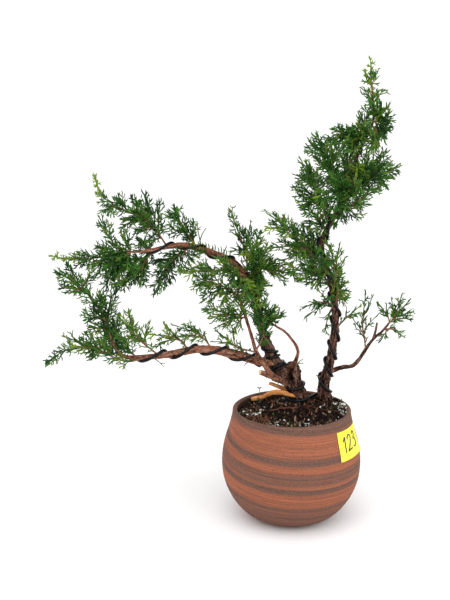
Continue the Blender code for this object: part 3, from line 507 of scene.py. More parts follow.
# each mass: the limb that carries it and the place along it, its spread, the share of its shoots that are
# loose single cords, how widened the gaps are, and then the places that its stem runs through | its side
# feathers, as the share of the stem where each forks and the place where it ends
masses = {
    "crown_tip": ("right_trunk", 255, 3.6, 0.3, 1.3, "58 3 338, 56 1 351, 55 0 365 | 0.04 50 -6 343, "
        "0.07 65 8 341, 0.52 52 2 356, 0.45 59 0 354"),
    "crown_top_right": ("right_trunk", 243, 6.5, 0, 1, "64 0 320, 68 -8 322 | 0.3 67 8 311, "
        "0.25 63 -10 331, 0.06 55 -14 300, 0.1 55 -14 332, 0.12 61 6 302"),
    "crown_top_left": ("right_trunk", 229, 7, 0, 1, "43 0 308, 32 -4 313 | 0.1 56 8 327, 0.6 27 8 305, "
        "0.35 39 -16 313, 0.12 52 -15 317, 0.05 48 -16 309, 0.2 43 -14 300"),
    "crown_left_upper": ("right_trunk", 176, 7.5, 0, 1, "31 -6 275, 25 -10 292, 21 -10 301, 16 -8 307 | "
        "0.72 12 -4 300, 0.6 33 -20 302, 0.45 18 2 291"),
    "crown_right_upper": ("right_trunk", 192, 7.5, 0, 1, "51 -2 273, 58 -6 279, 75 -6 285 | 0.45 68 6 295, "
        "0.5 70 6 272, 0.15 52 -14 292, 0.3 61 14 285, 0.05 46 -16 288"),
    "crown_left_middle": ("right_trunk", 156, 8, 0.3, 1, "23 2 251, 18 -2 263, 13 -4 278, 6 -6 288 | "
        "0.4 3 6 268, 0.28 5 -12 261, 0.65 6 4 277, 0.5 13 8 281"),
    "crown_right_middle": ("right_trunk", 172, 7, 0.4, 1, "42 -8 257, 51 -8 263, 64 -2 270 | 0.15 48 0 248, "
        "0.35 52 10 256, 0.08 32 -8 245"),
    "crown_left_lower": ("right_trunk", 151, 7, 0.6, 1.1, "19 -4 244, 14 -6 250, 8 -8 254 | 0.3 12 6 241, "
        "0.35 19 -18 260, 0.05 17 -10 238, 0.15 27 -16 257"),
    "crown_front": ("right_trunk", 182, 9, 0, 1, "36 -16 270, 27 -28 279 | 0.4 43 -28 274, 0.2 30 -28 260, "
        "0.6 18 -26 267"),
    "crown_back": ("right_trunk", 206, 9, 0, 1, "45 26 279, 43 40 287 | 0.4 59 36 280, 0.3 32 34 272, "
        "0.2 43 34 260, 0.5 47 30 299"),
    "inner_upper": ("right_trunk", 122, 7, 0.35, 1.2, "16 2 215, 7 -2 226, -5 -4 238, -18 -2 248 | "
        "0.55 -5 6 242, 0.7 -18 -8 240, 0.35 7 6 236, 0.35 -15 -4 224, 0.25 -8 -8 215, 0.15 16 14 228"),
    "inner_front": ("right_trunk", 114, 7, 0.35, 1.2, "18 -8 205, 8 -16 207, -3 -18 209 | 0.25 7 -8 200, "
        "0.15 17 -2 195, 0.4 4 -24 218, 0.1 19 -22 217"),
    "inner_back": ("right_trunk", 130, 10, 0, 1, "14 24 215, 6 36 219 | 0.4 20 34 200, 0.4 23 30 225"),
    "trunk_right_upper": ("right_trunk", 98, 3.4, 0.7, 1.1, "32 -2 196, 31 -4 212, 25 -6 228 | "
        "0.45 35 0 221, 0.4 38 2 210, 0.55 21 -14 222"),
    "trunk_right_lower": ("right_trunk", 88, 3, 0.7, 1.4, "35 4 186, 36 5 195, 36 4 203 | 0.35 40 8 190, "
        "0.08 42 8 180"),
    "trunk_left": ("right_trunk", 86, 3.6, 0.8, 1.5, "25 0 179, 17 -4 179, 10 -6 177 | 0.4 13 -4 170, "
        "0.12 21 -6 188, 0.02 28 -12 186, 0.03 25 -8 160"),
    "trunk_back": ("right_trunk", 97, 9, 0, 1, "35 24 185, 39 34 193 | 0.4 42 30 177, 0.4 30 32 190"),
    "trunk_shoot": ("right_trunk", 69, 2.2, 1, 1.7, "43 6 165, 46 5 168, 51 4 173 | 0.5 51 8 167"),
    "right_rise": ("right_bough", 39, 3, 1, 1.9, "60 20 144, 58 18 155, 58 16 167, 59 16 179 | "
        "0.25 50 12 161, 0.3 68 24 160, 0.6 64 20 175"),
    "right_tip": ("right_bough", 66, 4.4, 0.8, 1.2, "83 24 159, 86 22 167, 88 20 176 | 0.25 96 28 163, "
        "0.4 92 18 172, 0.3 83 26 171, 0.06 74 30 168, 0.2 94 22 160"),
    "right_low": ("right_bough", 61, 2.4, 0.6, 1.4, "85 30 149, 92 33 144 | 0.1 74 22 144"),
    "centre_tall": ("upper_bough", 98, 5.6, 0.5, 1.1, "-37 8 214, -41 6 227, -45 5 238, -49 4 249 | "
        "0.35 -35 10 236, 0.3 -45 -4 222"),
    "centre_top": ("upper_bough", 90, 7.5, 0.2, 1.1, "-30 -4 207, -26 -8 217, -21 -10 223 | 0.4 -29 -6 233, "
        "0.3 -35 -16 228, 0.5 -21 4 212, 0.08 -30 -20 193, 0.1 -26 -20 185"),
    "centre_right": ("upper_bough", 95, 6.5, 0.4, 1.15, "-25 4 206, -12 0 204, 0 -4 203 | 0.4 -10 -8 199, "
        "0.3 -11 2 208, 0.15 -26 -10 198"),
    "centre_left_long": ("base_branch", 92, 7.5, 0.35, 1.15, "-52 -12 193, -64 -18 198, -75 -22 197 | "
        "0.55 -75 -14 202, 0.3 -68 -14 186, 0.15 -56 -26 187, 0.12 -44 -20 183"),
    "centre_left_low": ("base_branch", 73, 5.5, 0.4, 1.1, "-49 -12 171, -59 -16 176, -68 -18 177 | "
        "0.4 -63 -10 169, 0.15 -56 -8 163, 0.25 -52 -22 183, 0.1 -39 -22 181, 0.05 -45 -14 162"),
    "centre_right_low": ("base_branch", 45, 4.8, 0, 1, "-26 -8 148, -23 -10 158, -19 -12 168, -16 -12 175 | "
        "0.7 -11 -8 170, 0.6 -23 -16 181, 0.5 -30 -18 171, 0.45 -32 -14 178"),
    "centre_back": ("upper_bough", 78, 10, 0, 1, "-34 30 181, -38 44 171 | 0.4 -24 36 185, 0.4 -43 36 191"),
    "centre_front": ("base_branch", 109, 7.5, 0.35, 1.2, "-49 -12 207, -64 -16 208, -77 -19 208, "
        "-88 -20 208 | 0.2 -56 -20 214, 0.5 -70 -10 209, 0.08 -38 -28 194, 0.1 -49 -28 200, "
        "0.06 -31 -26 185"),
    "low_shoots": ("base_branch", 43, 2.4, 0.8, 1.6, "-38 -10 143, -46 -12 146, -58 -12 157 | "
        "0.5 -48 -14 157, 0.6 -60 -8 149"),
    "bough_spray": ("far_bough", 46, 6.5, 0.35, 1, "-83 10 231, -89 8 242, -92 8 250 | 0.35 -97 2 237, "
        "0.65 -97 12 247, 0.05 -79 14 238"),
    "bough_droop": ("far_bough", 50, 7.5, 0.4, 1, "-92 2 216, -100 0 207, -105 0 197, -108 0 189 | "
        "0.1 -78 -6 217, 0.2 -86 -6 210, 0.35 -101 8 194, 0.15 -107 10 209"),
    "left_top": ("far_bough", 69, 6, 0.25, 1, "-109 4 237, -122 2 247, -135 0 254, -146 -2 261, "
        "-151 -3 268, -153 -4 278 | 0.08 -112 8 227, 0.65 -143 -8 252, 0.12 -105 10 254, 0.25 -116 8 261, "
        "0.3 -124 -10 261, 0.35 -133 8 239, 0.2 -121 -8 238, 0.5 -136 8 260"),
    "left_out": ("far_bough", 99, 8, 0.15, 1, "-135 -8 221, -147 -10 218, -160 -11 216, -173 -12 216, "
        "-186 -12 218 | 0.15 -150 2 243, 0.25 -152 0 223, 0.25 -151 -18 212, 0.12 -145 -12 196, "
        "0.05 -131 -16 235, 0.1 -141 -28 212, 0.06 -136 -20 198, 0.08 -125 -24 211"),
    "left_back": ("far_bough", 78, 8.5, 0, 1, "-119 14 209, -129 22 197, -138 18 187 | 0.3 -121 4 196, "
        "0.3 -137 34 205, 0.1 -122 24 223"),
    "low_column": ("lower_bough", 133, 6.8, 0.25, 1, "-142 -22 154, -145 -24 167, -150 -26 180, "
        "-158 -28 191, -166 -28 199, -178 -30 208 | 0.75 -156 -20 204, 0.7 -174 -36 198, 0.78 -172 -24 211, "
        "0.35 -159 -34 177, 0.22 -155 -32 167, 0.3 -140 -16 188, 0.45 -147 -36 192, 0.1 -138 -12 169"),
    "low_tip": ("lower_bough", 112, 5.6, 0.4, 1.05, "-129 -26 138, -140 -28 142, -152 -29 148, "
        "-165 -30 150, -179 -30 147, -190 -30 138 | 0.5 -175 -22 156, 0.4 -158 -34 160, 0.42 -159 -20 141, "
        "0.3 -147 -32 155"),
    "low_back": ("lower_bough", 118, 8.5, 0, 1, "-134 -6 145, -145 6 151 | 0.4 -156 8 143"),
    "low_fan": ("lower_bough", 101, 4.8, 0.5, 1.15, "-111 -24 147, -117 -26 153, -124 -28 162, "
        "-127 -28 175 | 0.35 -114 -20 164, 0.5 -133 -34 174, 0.4 -134 -34 159"),
    "low_rise_left": ("lower_bough", 77, 3.1, 0.5, 1.4, "-88 -18 152, -94 -20 158, -99 -20 165 | "
        "0.45 -108 -26 159, 0.4 -108 -14 148"),
    "low_rise_right": ("lower_bough", 59, 3, 0.5, 1.4, "-70 -12 152, -76 -12 158, -81 -12 162 | "
        "0.5 -90 -8 161, 0.4 -89 -16 155"),
}

limbs = {name: Limb(rowsOf(route)) for name, route in limbRoutes.items()}
print("limbs read:", len(limbs))


# wood: every limb as a swept skin with the relief of stringy, gnarled bark
bark = {
    "ringStep": 0.6,  # all lengths in millimetres
    "stripDepth": 1.05,
    "flakeDepth": 0.5,
    "deepFrom": (5.0, 4),  # half thicknesses of the limbs where strips and flakes are full
    "stripTwist": 0.018,  # radians a millimetre
    "gnarl": 0.15,
    # uneven fields: how fine across and along a limb, and the axis on which the limb's own shift moves it
    "fields": {
        "strips": (0.5, 0.085, 0), "strands": (1.15, 0.2, 1), "flakes": (0.8, 0.42, 2),
        "crumbs": (2.1, 1.1, 1), "lumps": (0.16, 0.11, 1),
    },
    # how sharp the ridges of strips and strands are, and what each field adds to how raised the bark is
    "ridges": (2.2, 2.0),
    "raisedBy": (0.5, 0.35, 0.5),
    "foot": (3, 5.0),  # height where a trunk's foot spreads by its flare, and rise that leaves a third of it
    "collar": 0.32,  # how much thicker a limb's root is
    "dome": 0.75,  # height of a rounded end, as a share of its radius
    "domeTurns": (22, 44, 62, 78),
    "skinFrom": {"upper_bough": 5.5},  # where a skin starts that would bulge out of the trunk's front
    "skinStart": (0.7, 5),  # share of its thickness there, and how far on it is full
    "thinnest": 0.25,
    "trunks": {"left_trunk": 96, "right_trunk": 64},
    # loose flakes on a square metre
    "flaked": {"left_trunk": 120000, "right_trunk": 140000, "upper_bough": 70000, "lower_bough": 22000},
    # crevice, middle, ridge, a warmer patch and how much of it shows; the near-black crevice is partly
    # painted shade and the light ridge partly painted light
    "colours": {
        "trunk": (
            (0.004, 0.003, 0.002), (0.044, 0.021, 0.015), (0.195, 0.112, 0.084), (0.100, 0.036, 0.022), 0.5,
        ),
        "bough": (
            (0.015, 0.007, 0.005), (0.165, 0.068, 0.042), (0.35, 0.190, 0.130), (0.27, 0.096, 0.052), 0.7,
        ),
        "flake": ((0.020, 0.011, 0.008), (0.17, 0.100, 0.075)),
        "cut": ((0.62, 0.36, 0.18), (0.82, 0.60, 0.38)),
    },
    # limbs with the boughs' lighter bark
    "light": ("far_bough", "lower_bough", "base_branch", "pruned_stub", "curved_branch"),
    "boughSides": 40,
    "twigSides": 22,
    "twigUnder": 3.2,  # half thickness at the root
    "flakesAbove": 0.12,  # how raised the bark is where flakes lie
    # dents and knots: angle from the front, place along, half width, half height, depth out
    "marks": {
        "left_trunk": "-10 31 1.3 4 -5.2, -22 34.6 2 1.3 -4, -46 29 2 4.5 1, 20 30 2.4 5 1.2, "
            "-8 37 4 1.6 0.8, -4 22.5 4.2 2 1.2, -80 26 2.6 3 1.3, 62 24 2.6 6 -1.2, 60 13 2.8 3.2 1.5, "
            "110 30 2.8 4.4 1.2, 160 20 3.2 5 -1.2, -120 12 3 5 1, 8 11 2.6 2.4 1.4, -50 12 2.2 3 -0.9, "
            "34 17 1.8 1.8 -1.2",
        "upper_bough": "-38 7.5 2.4 2.4 1.2, -38 7.5 1 1 -2.2, 20 12 2 3 0.8, 40 34 2 3 0.9",
        "right_trunk": "-60 14 2 4 0.9, 40 12 2.2 3 0.9, 60 34 1.6 2 1.3, -20 24 1.8 4 -0.7, "
            "90 47 1.3 1.4 1, -80 60 1.4 2 0.8, 75 66 1.1 1.1 1",
        "lower_bough": "170 40 1.6 1.6 0.7, 0 62 1.4 2.5 0.5, 190 78 1.2 1.4 0.7",
    },
    "markLight": 0.3,  # how much lighter a knot is, partly painted light, and for each millimetre of depth how much darker a dent, painted shade in its hollow
    "markDark": 0.36,
    "flares": {"left_trunk": (0.22, 4), "right_trunk": (0.14, 5)},  # how far the foot spreads, and its lobes
    "footDark": (0.55, 9),  # how much darker the foot is, and rise that leaves a third of it
}
barkMarks = {name: rowsOf(marks) for name, marks in bark["marks"].items()}


# how far the skin stands out at one place, and how raised it is there from 0 to 1, a value that also carries
# painted shade into the dents
def barkRelief(name, seed, angle, along, radius):
    millis = radius / mm
    turned = angle + bark["stripTwist"] * along / mm
    x, y, z = math.cos(turned) * millis, math.sin(turned) * millis, along / mm

    def field(kind):
        across, up, axis = bark["fields"][kind]
        spot = [x * across, y * across, z * up]
        spot[axis] += seed
        return noise.noise(Vector(spot))

    sharpStrips, sharpStrands = bark["ridges"]
    strips, strands = 1.0 - sharpStrips * abs(field("strips")), 1.0 - sharpStrands * abs(field("strands"))
    byStrips, byStrands, byFlakes = bark["raisedBy"]
    raised = byStrips * strips + byStrands * strands + byFlakes * field("flakes")
    crumbs = field("crumbs")
    thickStrips, thickFlakes = bark["deepFrom"]
    depth = bark["stripDepth"] * min(1.0, (millis / thickStrips) ** 0.7)
    rough = depth * (raised - 0.35) + bark["flakeDepth"] * min(1.0, millis / thickFlakes) * crumbs
    out = (rough + bark["gnarl"] * millis * field("lumps")) * mm
    shade = 0.5 + 0.62 * (raised - 0.25) + 0.3 * crumbs
    for markAngle, place, wide, tall, height in barkMarks.get(name, []):
        arc = angleGap(angle, math.radians(markAngle)) * millis
        share = math.exp(-((arc / wide) ** 2) - ((z - place) / tall) ** 2)
        out += height * share * mm
        # a knot is painted lighter, and a dent painted darker the deeper it is: painted shade in the hollow
        shade += share * (bark["markLight"] if height > 0 else bark["markDark"] * height)
    if name in bark["flares"]:
        dark, fade = bark["footDark"]
        shade -= dark * math.exp(-z / fade)
    return out, clamp(shade, -0.7)


def woodSkin(name, limb, sides, cutEnd=False, rootJoin=3.0):
    rings = max(6, round(limb.length / mm / bark["ringStep"]))
    skipped = bark["skinFrom"].get(name, 0.0) * mm
    domes = [] if cutEnd else [math.radians(turn) for turn in bark["domeTurns"]]
    seed = 7.0 * sum(map(ord, name)) % 91
    flare, lobes = bark["flares"].get(name, (0.0, 0))
    footTop, footFall = bark["foot"]
    verts, places, raised = [], [], []
    for ring in range(rings + 1 + len(domes)):
        along = skipped + (limb.length - skipped) * min(1.0, ring / rings)
        dome = domes[ring - rings - 1] if ring > rings else 0.0
        centre, ahead, radius = limb.at(along)
        centre = centre + ahead * radius * bark["dome"] * math.sin(dome)
        front, side = limb.across(ahead)
        if skipped:
            thin, full = bark["skinStart"]
            radius *= min(1.0, thin + (1 - thin) * (along - skipped) / (full * mm))
        elif not flare:
            radius *= 1 + bark["collar"] * math.exp(-((along / mm) / rootJoin))
        for angle in turnsOf(sides):
            lobe = 0.6 + 0.4 * math.cos(lobes * angle + seed)
            grow = 1 + flare * math.exp(-((along / mm - footTop) / footFall)) * lobe
            out, shade = barkRelief(name, seed, angle, along, radius)
            reach = max(radius * grow + out, bark["thinnest"] * mm) * math.cos(dome)
            verts.append(centre + (math.cos(angle) * front + math.sin(angle) * side) * reach)
            places.append((math.cos(angle) * radius, math.sin(angle) * radius, along))
            raised.append(shade)
    rings += len(domes)
    faces = []
    for ring in range(rings):
        faces += band(ring * sides, (ring + 1) * sides, sides)
    end, ahead, radius = limb.at(limb.length)
    if not cutEnd:
        end = end + ahead * radius * bark["dome"]
    for pole, ring in ((limb.at(skipped)[0], 0), (end, rings)):
        faces += fan(ring * sides, len(verts), sides, over=ring == 0)
        verts.append(pole)
        places.append((0, 0, limb.length if ring else 0))
        raised.append(0.5)
    made = newObject(name + "Skin", verts, faces)
    storeValues(made.data, "barkPlace", "FLOAT_VECTOR", places)
    storeValues(made.data, "raised", "FLOAT", raised)
    made.data.shade_smooth()
    if cutEnd:
        for polygon in list(made.data.polygons)[-sides:]:
            polygon.material_index = 1
            polygon.use_smooth = False
    return made


def barkFinish(name, crevice, middle, ridge, warm, warmShare):
    finish = Finish(name, specular=0.06)
    place = finish.attribute("barkPlace", output=1)
    raised = finish.attribute("raised", output=2)
    fibre = finish.noise(finish.stretch(place, (1.0, 1.0, 0.22)), 900, detail=5, rough=0.72)
    patch = finish.noise(place, 160, detail=3)
    height = finish.between(raised + 1.9 * (fibre - 0.5), 0.12, 1.05)
    # the colour follows how raised the bark is, from crevice to ridge: partly the bark's own colour, partly
    # painted shade low down and painted light on the ridges
    wood = finish.blend(finish.between(height, 0.0, 0.55), crevice, middle)
    wood = finish.blend(finish.between(height, 0.55, 1.0), wood, ridge)
    wood = finish.tint(wood, warm, warmShare, patch, 0.44, 0.62)
    finish.set(baseColour=wood, roughness=0.9 - 0.12 * height, normal=finish.bump(fibre, 0.7 * mm, 0.8))
    return finish


# flakes keep out of the deep hollows
def raisedOnly(mesh):
    low = [item.value < bark["flakesAbove"] for item in mesh.attributes["raised"].data]
    return cleared(mesh, "verts", lambda vert: low[vert.index])


def makeWood():
    trunkBark = barkFinish("trunkBark", *bark["colours"]["trunk"])
    boughBark = barkFinish("boughBark", *bark["colours"]["bough"])
    flakeBark = mixedFinish("flakeBark", *bark["colours"]["flake"], 0.9, 500)
    flakes = lumpPool("flakeShapes", "flake", 4, 90, (1.6, 0.6, 0.25), 0.5)
    cutWood = Finish("cutWood", roughness=0.7)
    grain = cutWood.noise(cutWood.place(), 900, detail=3)
    cutWood.set(baseColour=cutWood.blend(grain, *bark["colours"]["cut"]))
    for name, limb in limbs.items():
        if name.endswith("root"):
            continue
        thin = limb.radii[0] < bark["twigUnder"] * mm
        sides = bark["trunks"].get(name, bark["twigSides"] if thin else bark["boughSides"])
        made = woodSkin(name, limb, sides, cutEnd=name == "pruned_stub")
        settle(made, [name], [boughBark if name in bark["light"] else trunkBark, cutWood])
        if name in bark["flaked"]:
            amount, seed = bark["flaked"][name], len(name) + sides
            skin = raisedOnly(made.data.copy())
            skin = scattered(name + "Flakes", skin, flakes, flakeBark, amount, 0.5, 1.7, seed, lean=0.8)
            settle(skin, [name])
    dropPool(flakes)
    return cutWood


cutWood = makeWood()
print("trunks and boughs skinned")


# peeled roots: smooth orange wood with a sawn end
peeled = {
    "sides": 30,
    "fibres": ((0.44, 0.150, 0.038), (0.88, 0.420, 0.140)),
    "stain": (0.16, 0.07, 0.035),
}


def makePeeledRoots():
    finish = Finish("peeledWood", specular=0.15)
    place = finish.attribute("barkPlace", output=1)
    fibre = finish.noise(finish.stretch(place, (1.0, 1.0, 0.1)), 1500, detail=4)
    patch = finish.noise(place, 210, detail=3)
    wood = finish.blend(finish.between(fibre, 0.3, 0.7), *peeled["fibres"])
    wood = finish.tint(wood, peeled["stain"], 0.8, patch, 0.56, 0.72)
    finish.set(baseColour=wood, roughness=0.62, normal=finish.bump(fibre, 0.25 * mm, 0.6))
    for name in ("peeled_root", "short_root"):
        made = woodSkin(name, limbs[name], peeled["sides"], cutEnd=True, rootJoin=1.0)
        settle(made, [name], [finish, cutWood])


makePeeledRoots()
print("roots peeled")


# training wire, wound to the left going up each limb
wire = {
    "pointsPerTurn": 28,
    "clearance": 0.1,
    "endThin": 0.8,  # a cut end's share of the thickness
    "sides": 14,
    # angle and place along the left trunk, round whose foot the right trunk's wire starts
    "base": "-140 21.5, -90 21.5, -45 21.2, 0 20, 45 20, 90 19.5, 140 18.5, 190 16.5, 240 12.5, 300 9.4, "
        "360 7.4, 400 7",
    "joining": (-140, 9.5),
    # thickness, start along the limb, first angle, turns as (pitch, count), steepness over the front
    "coils": {
        "right_trunk": (2.4, 11, -170, [(16, 1), (15, 2), (20, 2), (24, 1.5), (20, 2.9)], 1.2),
        "upper_bough": (
            2.3, 15.6, 90,
            [(4.6, 0.5), (1.0, 0.5), (4.6, 0.5), (11, 0.5), (3.4, 1), (11, 0.5), (22, 2.9)], 0.5,
        ),
        "far_bough": (2.0, 6, -100, [(25, 3.1)], 0.5),
        "lower_bough": (2.4, 12, -92, [(25, 4.3)], 0.7),
    },
}


def coilRows(start, angle, turns, steep):
    rows, along, perTurn = [(angle, start)], start, wire["pointsPerTurn"]
    for pitch, count in turns:
        for _ in range(round(count * perTurn)):
            angle -= 360 / perTurn
            along += pitch / perTurn
            rows.append((angle, along + steep * pitch * math.sin(math.radians(-angle)) / wholeTurn))
    return rows


def wrapped(limb, rows, thick):
    stepAngle = 360 / wire["pointsPerTurn"]
    fine = []
    for here, there in zip(rows, rows[1:]):
        count = max(1, math.ceil(abs(there[0] - here[0]) / stepAngle - 0.01))
        for step in range(count):
            share = step / count
            fine.append(np.multiply(here, 1 - share) + np.multiply(there, share))
    fine.append(rows[-1])
    clearance = (thick / 2 + wire["clearance"]) * mm
    return [limb.around(along * mm, math.radians(angle), clearance) for angle, along in fine]


# a corner that hands are too weak to bend into wire is eased out
def eased(points, rounds=3):
    points = np.array(points)
    for _ in range(rounds):
        points[1:-1] = 0.25 * points[:-2] + 0.5 * points[1:-1] + 0.25 * points[2:]
    return points


def makeWires():
    finish = Finish("blackWire", specular=0.18)
    scuff = finish.noise(finish.place(), 420, detail=3)
    worn = finish.between(scuff, 0.5, 0.75)
    black = finish.blend(worn, (0.004, 0.004, 0.005), (0.013, 0.012, 0.014))
    finish.set(baseColour=black, roughness=0.1 + 0.16 * scuff)
    for name, (thick, start, angle, turns, steep) in wire["coils"].items():
        rows = coilRows(start, angle, turns, steep)
        points = []
        if name == "right_trunk":
            rows = [wire["joining"]] + rows
            points = wrapped(limbs["left_trunk"], rowsOf(wire["base"]), thick)
        points = eased(points + wrapped(limbs[name], rows, thick))
        half = np.full(len(points), thick / 2 * mm)
        half[0] = half[-1] = wire["endThin"] * thick / 2 * mm
        side = name.split("_")[0]
        made = strands(side + "Wire", [(points, half)], finish, wire["sides"])
        settle(made, [side + "_wire"])
    print("wires wound:", len(wire["coils"]))


makeWires()


# pot: thrown and turned from marbled clay; lengths in millimetres
pot = {
    # radius and height of the outer wall, from under the rim down
    "outside": [
        (47.8, 90), (48.2, 86), (50.6, 76), (54.2, 64), (56.3, 50), (55.4, 36), (51.6, 24), (45.0, 13),
        (37.0, 5), (29.0, 0.6),
    ],
    "rimHeight": 1.3,
    "wall": 3.6,
    "floor": 6.0,
    # radius and height, of the foot from its edge inwards and of the inside above the floor
    "foot": [(28.2, 0.1), (27.5, 0.0), (12.0, 0.0)],
    "inner": [(14.0, 0.0), (30.0, 1.0)],
    "sides": 220,
    "wobble": 0.0012,
    # throwing rings: height, how close they lie, how much and how slowly that varies up the wall
    "ripple": (0.10, 2.1, 0.8, 0.31),
    # the clay's layers wind down round the pot: fall for one radian, how uneven it is and from where
    "fall": 5.0,
    "sway": (0.8, 140.0),
    # at the back the layers change over to the next round's: where from, and over which share of half a turn
    "changeOver": (0.7, 0.3),
    "burnt": (82.5, 88.0),  # the rim goes grey-brown between these heights
    "burntDark": 0.95,
    # dark layers: height where they cross the front, half height, how dark
    "layers": [
        (5, 7, 0.80), (16, 6, 0.70), (24.5, 2.4, 0.92), (41.6, 2.8, 0.95), (48, 2.6, 0.66), (53, 3.0, 0.80),
        (64.6, 3.2, 0.92), (90, 5.5, 0.8),
    ],
}
potRows = smoothRows(pot["outside"], 1.0)


def potRadius(height):
    return float(np.interp(height, potRows[::-1, 1], potRows[::-1, 0]))


# the height at which the layer that runs through this place crosses the front
def layerHeight(turn, height):
    sway, start = pot["sway"]
    start = math.radians(start)
    swing = math.sin(turn - math.pi / 2 - start) - math.sin(-math.pi / 2 - start)
    return height + pot["fall"] * (turn + sway * swing)


def darkness(height):
    light = 1.0
    for middle, half, dark in pot["layers"]:
        light *= 1 - dark * math.exp(-abs((height - middle) / half) ** 3)
    return 1 - light


# each place on the pot: how dark its layer is, where its streaks run, and how much painted shade darkens the
# inside
def clayPlace(x, y, z, shadeInside):
    turn = angleGap(math.atan2(y, x), -math.pi / 2)
    height = layerHeight(turn, z)
    start, over = pot["changeOver"]
    behind = clamp((turn / math.pi - start) / over)
    dark = darkness(height) * (1 - behind) + darkness(layerHeight(turn - wholeTurn, z)) * behind
    low, high = pot["burnt"]
    dark = max(dark, pot["burntDark"] * clamp((z - low) / (high - low)))
    wind = height / pot["fall"]
    return dark, (math.cos(wind), math.sin(wind), z / 10), shadeInside


def makePot():
    wall, sides, top = pot["wall"], pot["sides"], pot["outside"][0][1]
    middle = potRows[0][0] - wall / 2
    arc = np.linspace(math.pi, 0, 11)
    rim = [(middle + wall / 2 * math.cos(t), top + pot["rimHeight"] * math.sin(t)) for t in arc]
    high, close, vary, slow = pot["ripple"]
    ripple = [high * math.sin(z * close + vary * math.sin(z * slow)) for r, z in potRows]
    outside = [(r + lift, z) for (r, z), lift in zip(potRows[1:], ripple[1:])]
    inside = [(r - wall, z) for r, z in potRows if pot["floor"] * 2 < z < top - 1][::-1]
    outer = rim + outside + pot["foot"]
    inner = [(r, pot["floor"] + z) for r, z in pot["inner"]] + inside
    verts, faces, places = [], [], []
    for index, (radius, height) in enumerate(outer + inner):
        deep = index - len(outer)
        # inside the pot the surface takes painted shade: a third at the floor, full from a few rings up the
        # wall
        shadeInside = clamp((deep + 2) / 6, 0.3) if deep >= 0 else 0.0
        for angle in turnsOf(sides):
            wobble = 1 + pot["wobble"] * math.sin(2 * angle + height * 0.02)
            x, y = radius * wobble * math.cos(angle), radius * wobble * math.sin(angle)
            verts.append((x * mm, y * mm, height * mm))
            places.append(clayPlace(x, y, height, shadeInside))
    below, above = len(verts), len(verts) + 1
    for height in (0.0, pot["floor"]):
        verts.append((0, 0, height * mm))
        places.append((0.5, (1, 0, 0), 1.0))
    # the inner wall's last ring joins the rim's first
    starts = list(range(0, below, sides))
    outerStarts, innerStarts = starts[:len(outer)], starts[len(outer):] + starts[:1]
    for run in (outerStarts, innerStarts):
        for first, second in zip(run, run[1:]):
            faces += band(second, first, sides)
    foot, floor = outerStarts[-1], innerStarts[0]
    for step in range(sides):
        after = (step + 1) % sides
        faces.append((below, foot + after, foot + step))
        faces.append((above, floor + step, floor + after))
    made = newObject("thrownPot", verts, faces)
    made.data.shade_smooth()
    storeValues(made.data, "layerDark", "FLOAT", [place[0] for place in places])
    storeValues(made.data, "streakPlace", "FLOAT_VECTOR", [place[1] for place in places])
    storeValues(made.data, "paintedShadeInside", "FLOAT", [place[2] for place in places])
    settle(made, ["pot"], [marbledClay()])


# layers of light and dark clay, pulled into long sloping streaks on the wheel
def marbledClay():
    clay = Finish("marbledClay", specular=0.22)
    place = clay.place()
    run = clay.attribute("streakPlace", output=1)
    layer = clay.attribute("layerDark", output=2)
    broad = clay.noise(clay.stretch(run, (2.6, 2.6, 0.5)), 1.0, detail=2, rough=0.5)
    streak = clay.noise(clay.stretch(run, (6.0, 6.0, 1.1)), 1.0, detail=3, rough=0.6)
    thread = clay.noise(clay.stretch(run, (17.0, 17.0, 2.4)), 1.0, detail=3, rough=0.6)
    sand = clay.noise(place, 1400, detail=3, rough=0.7)
    grit = clay.noise(place, 620, detail=2)
    stray = (broad - 0.5) * 0.9 + (streak - 0.5) * 1.7 + (thread - 0.5) * 1.5 + (sand - 0.5) * 1.1
    dark = clay.between(layer + stray, 0.22, 0.86)
    body = clay.blend(clay.between(streak, 0.35, 0.65), (0.245, 0.082, 0.045), (0.335, 0.106, 0.052))
    body = clay.tint(body, (0.52, 0.160, 0.078), 0.8, thread, 0.52, 0.64)
    body = clay.tint(body, (0.120, 0.055, 0.040), 0.7, thread, 0.49, 0.38)
    night = clay.blend(clay.between(thread, 0.36, 0.62), (0.060, 0.041, 0.035), (0.150, 0.078, 0.057))
    night = clay.tint(night, (0.27, 0.165, 0.125), 0.5, sand, 0.52, 0.70)
    body = clay.blend(dark * 0.92, body, night)
    body = clay.tint(body, (0.46, 0.22, 0.14), 0.4, sand, 0.54, 0.70)
    body = clay.tint(body, (0.075, 0.042, 0.032), 0.5, sand, 0.46, 0.32)
    body = clay.tint(body, (0.06, 0.038, 0.030), 0.4, grit, 0.60, 0.72)
    # the inside of the pot is darkened by painted shade
    body = clay.blend(clay.attribute("paintedShadeInside", output=2) * 0.9, body, (0.036, 0.023, 0.018))
    ridge = sand * 0.5 + thread * 0.5
    clay.set(baseColour=body, roughness=0.84, normal=clay.bump(ridge, 0.25 * mm, 0.6))
    return clay


makePot()
print("pot thrown")


